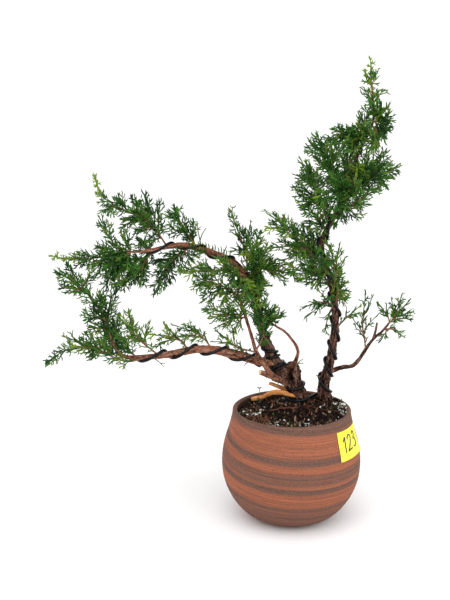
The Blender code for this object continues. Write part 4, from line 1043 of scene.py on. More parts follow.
# soil: a rough bed with loose grit, bark, stone and moss on it; lengths in millimetres
soil = {
    "edge": 85.0,
    "ground": 92.0,
    "underside": 76.0,
    "gap": 0.05,  # between the bed and the pot's wall
    "moundCentre": (17.0, 12.0),
    "moundReach": (25.0, 14.0),
    "moundFall": 16.0,
    "rings": 46,
    "sides": 150,
    "roughness": 1.7,
    "sunk": 0.4,  # how far the whole bed lies lower
    # the bed's unevenness: share, how fine it is and where it is read from
    "uneven": [(1.0, 0.22, 3.1), (0.5, 0.6, 8.3)],
    # amount on a square metre, least and greatest size in millimetres, seed
    "grit": (260000, 1.2, 3.0, 3),
    "barkBits": (27000, 1.8, 4.8, 5),
    "tanBits": (14000, 1.4, 3.4, 8),
    "perlite": (5000, 1.2, 3.2, 11),
    "pebbles": (12000, 1.4, 3.0, 14),
    "moss": (12000, 0.9, 2.0, 17),
    # places where one kind lies thick: across, back and reach in millimetres, amount on a square metre
    "clumps": {
        "perlite": [
            (-38, 10, 6, 170000), (-31, 0, 6, 200000), (-14, -22, 6, 260000), (9, -23, 6, 150000),
            (40, 9, 6, 260000), (42, -2, 5, 240000), (40, -13, 5, 180000),
        ],
        "barkBits": [(-26, -12, 10, 300000), (-32, 12, 8, 160000), (12, -34, 8, 240000)],
        "moss": [(-3, -24, 6, 300000), (-40, 8, 5, 220000), (-25, 33, 3, 300000)],
    },
    # roots that lie on the bed: half thickness, then the places across, back and up that each runs through
    "roots": [
        (0.9, "9.9 -1.2 92.4, 1.7 -2.5 92, -6.3 -1.4 91.4, -14.3 -0.8 89.6, -21.5 1.3 88"),
        (0.35, "20 14 94, 22.4 12 92.4, 27.6 -1.9 92, 32.8 -12.6 86.6"),
        (0.35, "22 12 93, 25.2 7 92.4, 33 -4.6 91, 39.4 -5.7 88.8"),
        (0.5, "12 10 92.6, 10 2 92.6, 14 -8 91.6, 11 -16 89.6"),
        (0.6, "16 10 92.6, 18 0 92.8, 23 -8 91.4, 24 -17 88.6"),
        (0.45, "8 6 92.4, 16 -3 93, 26 -6 91.6, 34 -3 90"),
        (0.4, "20 6 92.8, 12 -5 92.6, 6 -13 90.6"),
    ],
    "rootColours": ((0.018, 0.009, 0.007), (0.15, 0.055, 0.035)),
    # stones: across, back, up and size
    "stones": [(31.8, 17.1, 92.4, 5.0), (33.0, 13.0, 91.0, 4.0), (30.0, -7.0, 90.2, 3.0)],
    "seedling": (-25, 33, 87.0),
}


def soilHeight(x, y):
    cx, cy = soil["moundCentre"]
    rx, ry = soil["moundReach"]
    beyond = max(0.0, math.hypot((x - cx) / rx, (y - cy) / ry) - 1.0) * min(rx, ry) / soil["moundFall"]
    rise = 0.5 + 0.5 * math.cos(math.pi * min(1.0, beyond))
    rough = sum(share * noise.noise(Vector((x * fine, y * fine, z))) for share, fine, z in soil["uneven"])
    return soil["edge"] + (soil["ground"] - soil["edge"]) * rise + soil["roughness"] * rough - soil["sunk"]


def makeSoilBed():
    rings, sides = soil["rings"], soil["sides"]
    edge = potRadius(soil["edge"]) - pot["wall"] - soil["gap"]
    verts, faces = [(0, 0, soilHeight(0, 0) * mm)], []
    for ring in range(1, rings + 1):
        radius = edge * ring / rings
        for angle in turnsOf(sides):
            x, y = radius * math.cos(angle), radius * math.sin(angle)
            verts.append((x * mm, y * mm, soilHeight(x, y) * mm))
    last, foot = 1 + (rings - 1) * sides, len(verts)
    for step in range(sides):
        after = (step + 1) % sides
        faces.append((0, 1 + step, 1 + after))
        for low in range(1, last, sides):
            high = low + sides
            faces.append((low + step, high + step, high + after, low + after))
    # the side and the underside close it, down inside the pot
    reach, under = (edge - 1) * mm, soil["underside"] * mm
    verts += [(reach * math.cos(angle), reach * math.sin(angle), under) for angle in turnsOf(sides)]
    pole = len(verts)
    verts.append((0, 0, under))
    for step in range(sides):
        after = (step + 1) % sides
        faces.append((last + step, foot + step, foot + after, last + after))
        faces.append((foot + after, foot + step, pole))
    made = newObject("soilBed", verts, faces)
    made.data.shade_smooth()
    earth = Finish("darkSoil", roughness=0.8, specular=0.05)
    crumb = earth.noise(earth.place(), 900, detail=5, rough=0.7)
    patch = earth.noise(earth.place(), 120, detail=3)
    colour = earth.blend(earth.between(crumb, 0.35, 0.7), (0.003, 0.002, 0.002), (0.018, 0.011, 0.008))
    colour = earth.tint(colour, (0.030, 0.013, 0.009), 0.4, patch, 0.52, 0.66)
    earth.set(baseColour=colour, normal=earth.bump(crumb, 0.8 * mm, 1.0))
    settle(made, ["soil"], [earth])
    return made


# the part of a surface that lies within reach of a place
def patchOf(surface, x, y, reach):
    def far(face):
        middle = face.calc_center_median()
        return math.hypot(middle.x / mm - x, middle.y / mm - y) > reach

    return cleared(surface.copy(), "faces", far)


def makeSoilRoots():
    finish = mixedFinish("rootSkin", *soil["rootColours"], 0.7, 160)
    runs = []
    for thick, route in soil["roots"]:
        line = [Vector(p) * mm for p in smoothRows(rowsOf(route), 1.0)]
        for point in line:
            point.z += 0.5 * mm * noise.noise(point * 240)
            point.y += 0.7 * mm * noise.noise(point * 300)
        runs.append((line, [thick * mm * (1 - 0.5 * i / len(line)) for i in range(len(line))]))
    settle(strands("soilRoots", runs, finish, sides=7))


def makeStones():
    finish = mixedFinish("stoneTan", (0.20, 0.13, 0.085), (0.42, 0.31, 0.22), 0.8, 300)
    for order, (x, y, z, size) in enumerate(soil["stones"]):
        stone = lump(f"stoneLoose{order}", 80 + order, (1.2, 0.9, 0.75), 0.18)
        stone.data.transform(Matrix.Translation(Vector((x, y, z)) * mm) @ Matrix.Scale(size * mm, 4))
        settle(stone, finishes=[finish])


# a seedling with two small leaves at the back of the bed
def makeSeedling():
    foot = Vector(soil["seedling"]) * mm
    top = foot + Vector((0, 0, 10)) * mm
    finish = Finish("seedlingGreen", baseColour=(0.19, 0.26, 0.09), roughness=0.6)
    runs = [([foot, foot + Vector((0.3, 0, 5)) * mm, top], [0.35 * mm] * 3)]
    for way in (-1, 1):
        tip = top + Vector((way * 1.9, -0.3, 1.2)) * mm
        runs.append(([top, top.lerp(tip, 0.5), tip], [0.25 * mm, 0.7 * mm, 0.2 * mm]))
    settle(strands("seedling", runs, finish))


def makeSoil():
    top = cleared(makeSoilBed().data.copy(), "faces", lambda face: face.normal.z < 0.3)
    grains = lumpPool("grainShapes", "grain", 5, 20, (1, 0.8, 0.7))
    chips = [lump(f"chip{i}", 40 + i, (1.7 + 0.5 * (i % 3), 0.6, 0.28), 0.5) for i in range(6)]
    chips = shapePool("chipShapes", chips)
    stones = lumpPool("stoneShapes", "stone", 4, 60, (1, 0.85, 0.7), 0.15)
    kinds = (
        ("grit", grains, mixedFinish("blackGrit", (0.003, 0.0028, 0.0026), (0.032, 0.022, 0.016), 0.5, 420)),
        ("barkBits", chips, mixedFinish("barkCrumb", (0.012, 0.006, 0.005), (0.22, 0.105, 0.060), 0.85, 240)),
        ("tanBits", chips, mixedFinish("tanCrumb", (0.34, 0.19, 0.10), (0.52, 0.30, 0.17))),
        ("perlite", grains, mixedFinish("perliteWhite", (0.20, 0.22, 0.19), (0.78, 0.82, 0.76))),
        ("pebbles", stones, mixedFinish("pebbleGrey", (0.20, 0.17, 0.14), (0.44, 0.36, 0.29), 0.7)),
        ("moss", chips, mixedFinish("mossGreen", (0.05, 0.085, 0.018), (0.13, 0.19, 0.04))),
    )
    for kind, pool, finish in kinds:
        amount, smallest, largest, seed = soil[kind]
        settle(scattered(kind + "OnSoil", top, pool, finish, amount, smallest, largest, seed))
        for order, (x, y, reach, thick) in enumerate(soil["clumps"].get(kind, [])):
            patch, name = patchOf(top, x, y, reach), f"{kind}Clump{order}"
            settle(scattered(name, patch, pool, finish, thick, smallest, largest, seed + order + 1))
    for pool in (grains, chips, stones):
        dropPool(pool)
    makeSoilRoots()
    makeStones()
    makeSeedling()


makeSoil()
print("soil laid")


# label: a slip of yellow paper stuck on the shoulder, with figures in black pen
label = {
    "width": 33.0,
    "height": 22.3,
    "turn": -30.0,
    "tilt": 1.6,
    "middle": 71.4,
    "off": 0.3,  # from the clay to the paper's back
    "thick": 0.22,
    "lift": 1.1,  # how far the free corner curls off the clay
    "liftFrom": 0.6,  # share of the way from the middle to the corner
    "grid": 22,  # squares along each side
    "pen": 0.55,
    "figuresAside": (-1.0, 0.6),  # how far the figures stand from the label's middle, across and up
    # strokes of the figures, each as points across and up, in millimetres
    "figures": [
        "-10.2 2.6, -8.2 4.8, -7.5 5.3, -8.6 -6",
        "-4.2 3.2, -3 5.6, -0.5 6.2, 1.2 4.4, 0.2 1.2, -2.4 -2.4, -4.8 -5.4, -2 -4.8, 1.2 -4.6",
        "4.6 5.4, 6.6 6.9, 9 6, 8.6 3.2, 6.2 1.6, 8.8 0.8, 9.2 -2.2, 7.2 -4.4, 4.2 -4",
    ],
}


# a place on the label, by how far across and up it is from the middle and off the clay
def onLabel(across, up, off):
    turn = math.radians(label["tilt"])
    aside = across * math.cos(turn) + up * math.sin(turn)
    height = label["middle"] - across * math.sin(turn) + up * math.cos(turn)
    angle = math.radians(label["turn"]) + aside / potRadius(label["middle"])
    start = label["liftFrom"]
    corner = max(0.0, across / label["width"] - up / label["height"] - start) / (1 - start)
    radius = potRadius(height) + off + label["lift"] * corner**2
    return (radius * math.cos(angle) * mm, radius * math.sin(angle) * mm, height * mm)


def makeLabel():
    paper = Finish("yellowPaper", roughness=0.55, specular=0.35)
    fibre = paper.noise(paper.place(), 1400, detail=3)
    shade = paper.noise(paper.place(), 70, detail=2)
    yellow = paper.blend(shade, (0.90, 0.83, 0.035), (0.97, 0.93, 0.075))
    paper.set(baseColour=yellow, normal=paper.bump(fibre, 0.05 * mm, 0.4))
    grid = label["grid"]
    row, layer = grid + 1, (grid + 1) ** 2
    face = label["off"] + label["thick"]
    across = np.linspace(-label["width"] / 2, label["width"] / 2, row)
    upward = np.linspace(-label["height"] / 2, label["height"] / 2, row)
    verts = [onLabel(a, u, off) for off in (label["off"], face) for u in upward for a in across]
    faces = []
    for a in (low + column for low in range(0, grid * row, row) for column in range(grid)):
        quad = (a, a + 1, a + row + 1, a + row)
        faces.append(tuple(layer + i for i in quad))
        faces.append(quad[::-1])
    rim = [*range(grid), *range(grid, layer - 1, row), *range(layer - 1, grid * row, -1)]
    rim += range(grid * row, 0, -row)
    for here, there in zip(rim, rim[1:] + rim[:1]):
        faces.append((here, there, layer + there, layer + here))
    settle(newObject("labelPaper", verts, faces), ["label"], [paper])
    ink = Finish("penInk", baseColour=(0.012, 0.012, 0.016), roughness=0.5)
    aside, above = label["figuresAside"]
    runs = []
    for stroke in label["figures"]:
        fine = smoothRows([(a, u, 0) for a, u in rowsOf(stroke)], 0.4)
        points = [onLabel(a + aside, u + above, face) for a, u, _ in fine]
        runs.append((points, [label["pen"] * mm] * len(points)))
    settle(strands("labelFigures", runs, ink, sides=8))


makeLabel()
print("label stuck on")


# foliage: each mass grows from its limb by the source's rule, down to single cords of scale leaves
foliage = {
    "stemThick": 0.8,  # half thicknesses, lengths and gaps in millimetres
    "tipThick": 0.42,
    "sideTwig": 0.8,
    "sunk": 0.6,  # share of the limb's half thickness at which a stem starts
    "sideBend": 0.35,  # how far a side feather's bend is drawn along its first direction, of its length
    "shootGap": 2.1,
    "shootSlant": 40.0,
    "shootSway": (0.8, 1.15),  # of its slant
    "shootTurn": 137.5,  # degrees round the feather from one shoot to the next
    "shootBend": 0.22,
    "lastShoot": 2.6,
    "whipSpread": 0.4,
    "woodyShare": 0.62,  # of a feather, from its foot
    "greenThick": (0.42, 0.26),
    "newAndLitFrom": 0.7,  # sprigs past this share of a shoot may be newer growth, one shade lighter, partly as painted light
    "newAndLitShare": 0.6,
    "shootSize": (0.9, 1.42),  # share of the mass's spread
    "bareShare": 0.10,
    "sprigGap": 1.5,
    "sprigSlant": 32.0,
    "sprigSize": (0.72, 1.2),  # share of a sprig's own length
    "sprigSway": (0.75, 1.2),  # of its slant
    "sprigLift": 0.22,  # how unevenly sprigs leave the shoot's flat side
    "sprigWidth": (0.85, 1.15),
    "plainBelow": 0.78,  # smaller sprigs take the plainer shapes
    "sprigLength": 6.8,
    "whipSprigs": 0.64,  # how much shorter the sprigs of a whip are
    "cordThick": 0.55,
    "looseCords": (6.0, 11.5),  # length of the single cords of a loose shoot
    "shootSteps": 5,
    "sideSteps": 14,
    # shapes of a sprig: its bow, then its side cords as place, way and size; its length is 1
    "sprigPlans": [
        (0.09, []), (-0.10, []), (0.07, [(0.34, 1, 0.5)]), (-0.07, [(0.40, -1, 0.48)]),
        (0.05, [(0.28, 1, 0.5), (0.52, -1, 0.4)]),
    ],
    # a loose cord's side cords: how many, slant in degrees, where they stand and their size in shares of it
    "looseSides": {"counts": (1, 2, 2, 3), "slant": (28, 46), "place": (0.3, 0.8), "size": (0.35, 0.55)},
    "looseWidth": (0.95, 0.85),  # of a loose cord and of its side cords
    # share of a cord's length and of its thickness there
    "longWaists": [(0, 0.8), (0.35, 1.0), (0.7, 0.85)],
    "shortWaists": [(0, 0.8), (0.6, 0.9)],
    "greenTwig": (0.075, 0.125, 0.022),
    "brownTwig": ((0.16, 0.07, 0.04), (0.27, 0.14, 0.085)),
    "snagTwig": ((0.05, 0.026, 0.018), (0.20, 0.115, 0.075)),
    "twigBark": (0.85, 500),  # roughness and how fine the grain is
    # masses with feathers that end in a yellow-green whip: which feathers, and the share where it starts
    "whips": {
        "crown_tip": {0: 0.15, 3: 0.5}, "left_top": {0: 0.78}, "left_out": {0: 0.66},
    },
    "regions": {
        "crown": ("crown_",), "inner": ("inner_", "trunk_"), "right": ("right_",),
        "centre": ("centre_", "low_shoots"), "left": ("left_", "bough_"), "low": ("low_",),
    },
    # from the deepest green to the freshest: base colour and the record's slot; the deep green is partly
    # older growth and partly painted shade, the bright green partly painted light
    "shades": {
        "Deep": ((0.011, 0.046, 0.008), "deep_green"), "Leafy": ((0.026, 0.092, 0.012), "leafy_green"),
        "Bright": ((0.054, 0.155, 0.018), "leafy_green"), "Olive": ((0.095, 0.165, 0.020), "leafy_green"),
        "Fresh": ((0.165, 0.26, 0.022), "fresh_green"),
    },
    # how a mass's shoots share the five shades, by the start of its name; a mass with more of the deep green
    # is darker partly by painted shade
    "mixes": {
        "crown_tip": (0, 0.25, 0.40, 0.30, 0.05), "crown_": (0.15, 0.38, 0.37, 0.07, 0.03),
        "inner_": (0.18, 0.36, 0.28, 0.15, 0.03), "trunk_left": (0.55, 0.35, 0.10, 0, 0),
        "trunk_": (0.15, 0.33, 0.27, 0.20, 0.05), "right_rise": (0.70, 0.30, 0, 0, 0),
        "right_": (0.26, 0.38, 0.26, 0.09, 0.01), "centre_tall": (0.34, 0.38, 0.20, 0.08, 0),
        "centre_right_low": (0.32, 0.38, 0.20, 0.10, 0),
        "centre_": (0.08, 0.27, 0.32, 0.28, 0.05), "left_top": (0.40, 0.38, 0.18, 0.04, 0),
        "left_": (0.34, 0.42, 0.20, 0.03, 0.01), "bough_droop": (0.62, 0.30, 0.08, 0, 0),
        "bough_": (0.40, 0.38, 0.18, 0.04, 0), "low_rise": (0.10, 0.28, 0.28, 0.28, 0.06),
        "low_fan": (0.10, 0.26, 0.30, 0.28, 0.06), "low_shoots": (0.16, 0.32, 0.24, 0.22, 0.06),
        "low_column": (0.34, 0.37, 0.17, 0.11, 0.01), "low_": (0.20, 0.33, 0.25, 0.18, 0.04),
    },
    # single needles that stand up from the far bough: place along it, then how far they go across and up
    "needles": "39.5 -1.2 5.6, 37 -0.8 6.8, 34.5 -1.2 6.4, 31 -1.6 6.4, 29.5 -0.4 8, 26 -1.6 6.4, "
        "24 -0.8 8.1, 21.5 -1.2 6.9, 23 4.4 9.3, 20 0.4 6.5, 17 0.8 5.7, 43 -1.6 5.6, 32.5 1.6 4.8",
    "patch": (37, 52, 26),  # yellow-green cords on the bough's front: from, to and how many
    # dead bits and green cords on the wood: half thickness at foot and tip, then the places each runs through
    "snags": [
        (1.2, 0.8, "67 20 143, 69 21 150, 70 21 157"),
        (0.4, 0.3, "38 6 178, 41 5 177, 43 5 173, 43 6 165"),
        (0.4, 0.25, "-108 -26 140, -104 -27 137, -101 -28 134"),
        (0.35, 0.2, "-104 -27 137, -102 -28 137, -100 -28 137"),
        (0.6, 0.2, "32 9 135, 35 9 135, 38 9 134"),
        (0.8, 0.2, "31 11 119, 34 11 120, 36 11 121"),
        (0.7, 0.2, "31 11 115, 33 11 115, 35 11 114"),
        (0.6, 0.2, "34 10 167, 37 9 168, 39 9 168"),
        (0.8, 0.2, "23 8 115, 21 7 116, 19.5 7 117"),
        (0.8, 0.2, "-5 2 114, -7 2 112, -8 1 109"),
        (0.8, 0.2, "-8 3 115, -10 2 113, -11.5 2 110"),
        (0.5, 0.2, "-35 -2 131, -37.5 -2.5 129, -39 -2.5 127"),
        (0.5, 0.2, "24 9 104, 21 8 104, 19.5 7.5 105"),
        (0.5, 0.2, "30 12 157, 28 11 158, 27 11 157"),
    ],
    "greenSprouts": [
        (0.5, 0.35, "3 4 126, 5 3.5 128, 6.5 3 130, 8.5 2 131.5"),
        (0.5, 0.35, "5 3.5 127.6, 7 3 128, 9 2.5 127.6"),
        (0.5, 0.35, "-73 10 223, -75 10 233, -76 10 241"),
        (0.5, 0.35, "-74 9 226, -72 8 232, -69 8 237"),
    ],
}


# one tapering cord of scale leaves, four-sided and closed
def cord(verts, faces, start, end, thick, bow, waists):
    start, end = Vector(start), Vector(end)
    along = (end - start).normalized()
    side = along.cross(Vector((0.1, 1, 0.2))).normalized()
    other = along.cross(side)
    first = len(verts)
    for share, width in waists:
        centre = start.lerp(end, share) + Vector(bow) * math.sin(math.pi * share)
        for turn in turnsOf(4):
            verts.append(centre + (side * math.cos(turn) + other * math.sin(turn)) * thick * width)
    last = len(verts) - 4
    for ring in range(first, last, 4):
        faces += band(ring, ring + 4, 4)
    faces += fan(last, len(verts), 4)
    faces.append((first + 3, first + 2, first + 1, first))
    verts.append(end)


# the shapes that a shoot is set with: one cord, or a cord with one or two side cords
def sprigShapes():
    long, thick = foliage["sprigLength"] * mm, foliage["cordThick"] * mm
    made = []
    for index, (bow, sides) in enumerate(foliage["sprigPlans"]):
        verts, faces = [], []
        bend = (bow * long, 0.04 * long, 0)
        cord(verts, faces, (0, 0, 0), (0, 0, long), thick, bend, foliage["longWaists"])
        for share, way, size in sides:
            root = Vector((0, 0, share * long)) + Vector(bend) * math.sin(math.pi * share)
            end = root + Vector((way * math.sin(0.72), 0.15, math.cos(0.72))) * size * long
            cord(verts, faces, root, end, thick * 0.85, (0, 0, 0), foliage["shortWaists"])
        made.append(newObject(f"sprig{index}", verts, faces))
    return made


# a side feather leaves its stem along ahead and bends towards its tip
def sideLine(start, ahead, tip, steps):
    control = start + ahead * foliage["sideBend"] * (tip - start).length
    shares = [step / steps for step in range(steps + 1)]
    return [start.lerp(control, t).lerp(control.lerp(tip, t), t) for t in shares]


def stemStart(limb, along, towards):
    centre, ahead, radius = limb.at(along)
    if along > limb.length - 1 * mm:
        return centre
    out = towards - centre
    return centre + (out - ahead * out.dot(ahead)).normalized() * radius * foliage["sunk"]


def onLine(line, share):
    position = min(share, 0.999) * (len(line) - 1)
    index = int(position)
    return line[index].lerp(line[index + 1], position - index), (line[index + 1] - line[index]).normalized()


# the stem of a mass runs through its points, and the side feathers fork from it
def feathersOf(limb, along, points, sides):
    start = stemStart(limb, along * mm, points[0])
    stem = [Vector(row) for row in smoothRows([tuple(start), *(tuple(p) for p in points)], 1.5 * mm)]
    feathers = [(stem, foliage["stemThick"])]
    for share, tip in sides:
        fork, ahead = onLine(stem, share)
        leave = (ahead + (tip - fork).normalized()).normalized()
        line = sideLine(fork, leave, tip, foliage["sideSteps"])
        feathers.append((line, foliage["stemThick"] * foliage["sideTwig"]))
    return feathers


# how far the shoots reach along a feather, which ends in a point
def swellAt(share):
    return 0.28 + 0.72 * math.sin(math.pi * min(1.0, 0.12 + 0.86 * share) ** 0.9)


def shadeOf(rng, mix):
    return rng.choices(tuple(foliage["shades"]), mix)[0]


# the tips of a shoot are newer growth, one shade on, and that lighter shade is partly painted light
def newerAndLit(shade):
    names = list(foliage["shades"])
    return names[min(names.index(shade) + 1, 3)] if shade != "Fresh" else shade


# one sprig, held for setting: its shade, place, turn, sizes, shape and where it ends
def holdSprig(grove, shade, place, aim, normal, size, width, pick):
    across = aim.cross(normal).normalized()
    turn = Matrix((across, aim.cross(across), aim)).transposed().to_euler()
    end = place + aim * size * foliage["sprigLength"] * mm
    grove["sprigs"].append((shade, place, tuple(turn), (width, width, size), pick, end))


# one side shoot: its bent line, then the sprigs set left and right along it
def growShoot(rng, root, direction, along, flatWay, length, shade, grove, finer=1.0):
    steps = foliage["shootSteps"]
    shares = [step / steps for step in range(steps + 1)]
    bend = foliage["shootBend"]
    line = [root + (direction * share + along * bend * share**2) * length for share in shares]
    if length > 5 * mm:
        grove["greenTwigs"].append((line, np.linspace(*foliage["greenThick"], len(line)) * mm))
    count = max(2, round(length / (foliage["sprigGap"] * mm)))
    way = rng.choice((-1, 1))
    for order in range(count + 1):
        share = (order + 0.4) / (count + 0.4)
        place, ahead = onLine(line, share)
        side = ahead.cross(flatWay).normalized()
        normal = side.cross(ahead)
        way = -way
        slant = math.radians(foliage["sprigSlant"]) * rng.uniform(*foliage["sprigSway"])
        slant *= 0 if order == count else 1
        lift = rng.gauss(0, foliage["sprigLift"])
        aim = (ahead * math.cos(slant) + side * way * math.sin(slant) + normal * lift).normalized()
        size = rng.uniform(*foliage["sprigSize"]) * (0.68 + 0.38 * math.sin(math.pi * min(1, share * 1.1)))
        size *= finer
        pick = rng.choice((0, 2, 3, 4, 2, 3) if size > foliage["plainBelow"] else (0, 1, 2))
        # a sprig near the tip may take the next lighter shade: newer growth, partly painted light
        fresh = share > foliage["newAndLitFrom"] and rng.random() < foliage["newAndLitShare"]
        tone = newerAndLit(shade) if fresh else shade
        holdSprig(grove, tone, place, aim, normal, size, rng.uniform(*foliage["sprigWidth"]), pick)


# a loose shoot: one long straight cord, with a few side cords
def growLooseShoot(rng, root, direction, along, flatWay, length, shade, grove):
    long = rng.uniform(*foliage["looseCords"]) * (0.6 + 0.4 * min(1.0, length / (5 * mm)))
    aim = (direction + along * 0.25).normalized()
    side = aim.cross(flatWay).normalized()
    normal = side.cross(aim)
    unit = foliage["sprigLength"]
    thick, thin = foliage["looseWidth"]
    holdSprig(grove, shade, root, aim, normal, long / unit, thick, rng.choice((0, 1)))
    way, sides = rng.choice((-1, 1)), foliage["looseSides"]
    for _ in range(rng.choice(sides["counts"])):
        way = -way
        place = root + aim * long * rng.uniform(*sides["place"]) * mm
        slant = math.radians(rng.uniform(*sides["slant"]))
        branch = aim * math.cos(slant) + (side * way + normal * rng.uniform(-0.6, 0.6)) * math.sin(slant)
        size = long * rng.uniform(*sides["size"]) / unit
        # side cords take the next lighter shade, partly painted light
        holdSprig(grove, newerAndLit(shade), place, branch.normalized(), normal, size, thin, rng.choice((0, 1)))


def growFeather(rng, line, thick, spread, whipFrom, habit, mix, grove):
    loose, widened = habit
    length = sum((b - a).length for a, b in zip(line, line[1:]))
    steps = len(line) - 1
    radii = np.linspace(thick, foliage["tipThick"], steps + 1) * mm
    woody = max(2, round(steps * foliage["woodyShare"]))
    grove["twigs"].append((line[:woody + 1], radii[:woody + 1]))
    grove["greenTwigs"].append((line[woody:], radii[woody:] * 0.96))
    count = max(4, round(length / (foliage["shootGap"] * widened * mm)))
    turn = rng.uniform(0, wholeTurn)
    for order in range(count + 1):
        share = foliage["bareShare"] + (1 - foliage["bareShare"]) * order / count
        root, along = onLine(line, share)
        turn += math.radians(foliage["shootTurn"])
        facing = Vector((0, -1, 0.2))
        front = (facing - along * along.dot(facing)).normalized()
        out = 0.8 * math.cos(turn) * front + math.sin(turn) * along.cross(front)
        slant = math.radians(foliage["shootSlant"]) * rng.uniform(*foliage["shootSway"])
        whip = share > whipFrom
        full = spread * swellAt(share) * rng.uniform(*foliage["shootSize"])
        full *= foliage["whipSpread"] if whip else 1.0
        direction = (along * math.cos(slant) + out * math.sin(slant)).normalized()
        if order == count:
            direction, full = along, min(full, foliage["lastShoot"] * mm)
        flatWay = out.cross(direction)
        if whip:
            growShoot(rng, root, direction, along, flatWay, full, "Fresh", grove, foliage["whipSprigs"])
            continue
        grow = growLooseShoot if rng.random() < loose else growShoot
        grow(rng, root, direction, along, flatWay, full, shadeOf(rng, mix), grove)


# the needles and the patch of new growth that stand on the far bough itself
def growTuft(grove):
    rng = random.Random(12)
    limb, unit = limbs["far_bough"], foliage["sprigLength"]
    for along, across, up in rowsOf(foliage["needles"]):
        centre, ahead, radius = limb.at(along * mm)
        aim = Vector((across, rng.uniform(-1.2, 1.2), up))
        start = centre + Vector((0, 0, 1)) * radius * 0.9
        size = (aim.length - radius / mm * 0.6) / unit
        shade = rng.choice(("Leafy", "Bright", "Olive", "Deep"))
        holdSprig(grove, shade, start, aim.normalized(), Vector((0, -1, 0)), size, 0.85, 0)
    first, last, count = foliage["patch"]
    for order in range(count):
        along = first + (last - first) * order / count
        angle = math.radians(rng.uniform(-60, 75))
        start = limb.around(along * mm, angle, 0.1 * mm)
        out = (start - limb.at(along * mm)[0]).normalized()
        aim = (out + Vector((rng.uniform(-0.8, 0.5), 0, rng.uniform(-0.7, 0.7)))).normalized()
        shade, size = rng.choice(("Olive", "Fresh", "Bright")), rng.uniform(0.3, 0.6)
        holdSprig(grove, shade, start, aim, Vector((0.2, -1, 0)), size, 0.9, rng.choice((0, 2)))


# sprigs that would touch a limb are left out
def clearOfLimbs(sprigs):
    centres = np.array([c for limb in limbs.values() for c in limb.centres])
    radii = np.array([r for limb in limbs.values() for r in limb.radii])
    ends = np.array([sprig[5] for sprig in sprigs])
    kept = []
    for first in range(0, len(ends), 2000):
        apart = np.linalg.norm(ends[first:first + 2000, None] - centres[None], axis=2)
        kept += list((apart > radii[None] + 0.5 * mm).all(axis=1))
    return [sprig for sprig, keep in zip(sprigs, kept) if keep]


def growMass(name, grove):
    limbName, along, spread, loose, widened, text = masses[name]
    stem, sides = map(rowsOf, text.split("|"))
    points = [Vector(point) * mm for point in stem]
    sides = [(share, Vector(tip) * mm) for share, *tip in sides]
    rng = random.Random(name)
    mix = next(mix for start, mix in foliage["mixes"].items() if name.startswith(start))
    whips = foliage["whips"].get(name, {})
    for order, (line, thick) in enumerate(feathersOf(limbs[limbName], along, points, sides)):
        growFeather(rng, line, thick, spread * mm, whips.get(order, 2.0), (loose, widened), mix, grove)


# dead stubs, spikes and torn bits of bark on the wood, and a few green cords
def makeSnags(snagTwig, greenTwig):
    for name, sides, finish, slotName in (
        ("snags", 7, snagTwig, "bark"), ("greenSprouts", 5, greenTwig, "leafy_green"),
    ):
        runs = []
        for first, last, text in foliage[name]:
            points = [Vector(point) * mm for point in rowsOf(text)]
            runs.append((points, np.linspace(first, last, len(points)) * mm))
        settle(strands(name, runs, finish, sides))


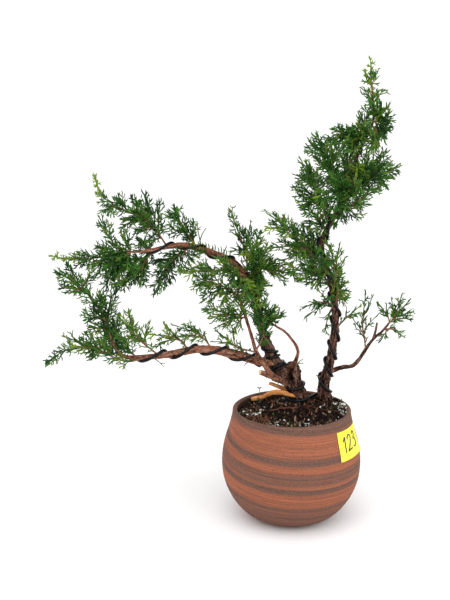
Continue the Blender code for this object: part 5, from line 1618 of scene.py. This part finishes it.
def makeFoliage():
    leaves = {
        shade: Finish(shade.lower() + "Scale", baseColour=colour, roughness=0.62, specular=0.12)
        for shade, (colour, _) in foliage["shades"].items()
    }
    greenTwig = Finish("greenTwig", baseColour=foliage["greenTwig"], roughness=0.7)
    brownTwig = mixedFinish("brownTwig", *foliage["brownTwig"], *foliage["twigBark"])
    makeSnags(mixedFinish("snagTwig", *foliage["snagTwig"], *foliage["twigBark"]), greenTwig)
    pool = shapePool("sprigShapes", sprigShapes())
    left, total = list(masses), 0
    for region, starts in foliage["regions"].items():
        names = [name for name in left if name.startswith(starts)]
        left = [name for name in left if name not in names]
        grove = {"twigs": [], "greenTwigs": [], "sprigs": []}
        needles = {"sprigs": []}
        for name in names:
            growMass(name, grove)
        if region == "left":
            growTuft(needles)
        settle(strands(region + "Twigs", grove["twigs"], brownTwig), names)
        settle(strands(region + "GreenTwigs", grove["greenTwigs"], greenTwig, 4), names)
        sprigs = clearOfLimbs(grove["sprigs"]) + needles["sprigs"]
        total += len(sprigs)
        for shade, (_, slotName) in foliage["shades"].items():
            held = [sprig[1:5] for sprig in sprigs if sprig[0] == shade]
            if held:
                piece = setOnPoints(region + shade + "Leaves", *zip(*held), pool, leaves[shade])
                settle(piece, names)
    dropPool(pool)
    print("sprigs of leaves grown:", total)


makeFoliage()


# the floor sweeps up behind the object, pale and even
def makeFloor():
    edge, radius = studio["sweepFrom"], studio["sweepRadius"]
    back = [(studio["floorFrom"], 0.0), (edge, 0.0)]
    for turn in np.linspace(0.1, math.pi / 2, 14):
        back.append((edge + radius * math.sin(turn), radius - radius * math.cos(turn)))
    back.append((edge + radius, studio["wallTop"]))
    verts = [(x, y, z) for y, z in back for x in (-studio["halfWidth"], studio["halfWidth"])]
    faces = [(i, i + 1, i + 3, i + 2) for i in range(0, len(verts) - 2, 2)]
    floor = newObject("paleFloor", verts, faces)
    floor.data.shade_smooth()
    finish = Finish("paleFloor", baseColour=studio["floorColour"], roughness=0.8, specular=0.1)
    floor.data.materials.append(finish.material)


def makeStudio():
    scene = bpy.context.scene
    camera = linked("photoCamera", bpy.data.cameras.new("photoCamera"))
    camera.location = studio["cameraPlace"]
    camera.rotation_euler = (math.radians(studio["cameraPitch"]), 0, 0)
    camera.data.lens = studio["lens"]
    camera.data.sensor_width = studio["sensor"]
    camera.data.clip_start = studio["clipStart"]
    scene.camera = camera
    makeFloor()
    scene.world = bpy.data.worlds.new("softRoom")
    scene.world.use_nodes = True
    glow = scene.world.node_tree.nodes["Background"].inputs
    glow["Color"].default_value = (1, 1, 1, 1)
    glow["Strength"].default_value = studio["backdrop"]
    for name, (power, size, place) in studio["lights"].items():
        lamp = linked(name, bpy.data.lights.new(name, "AREA"))
        lamp.data.energy = power
        lamp.data.size = size
        lamp.location = place
        aim = Vector(studio["lightAim"]) - Vector(place)
        lamp.rotation_euler = aim.to_track_quat("-Z", "Y").to_euler()
    scene.view_settings.view_transform = "Standard"
    scene.view_settings.look = "None"


makeStudio()
print("studio lit")
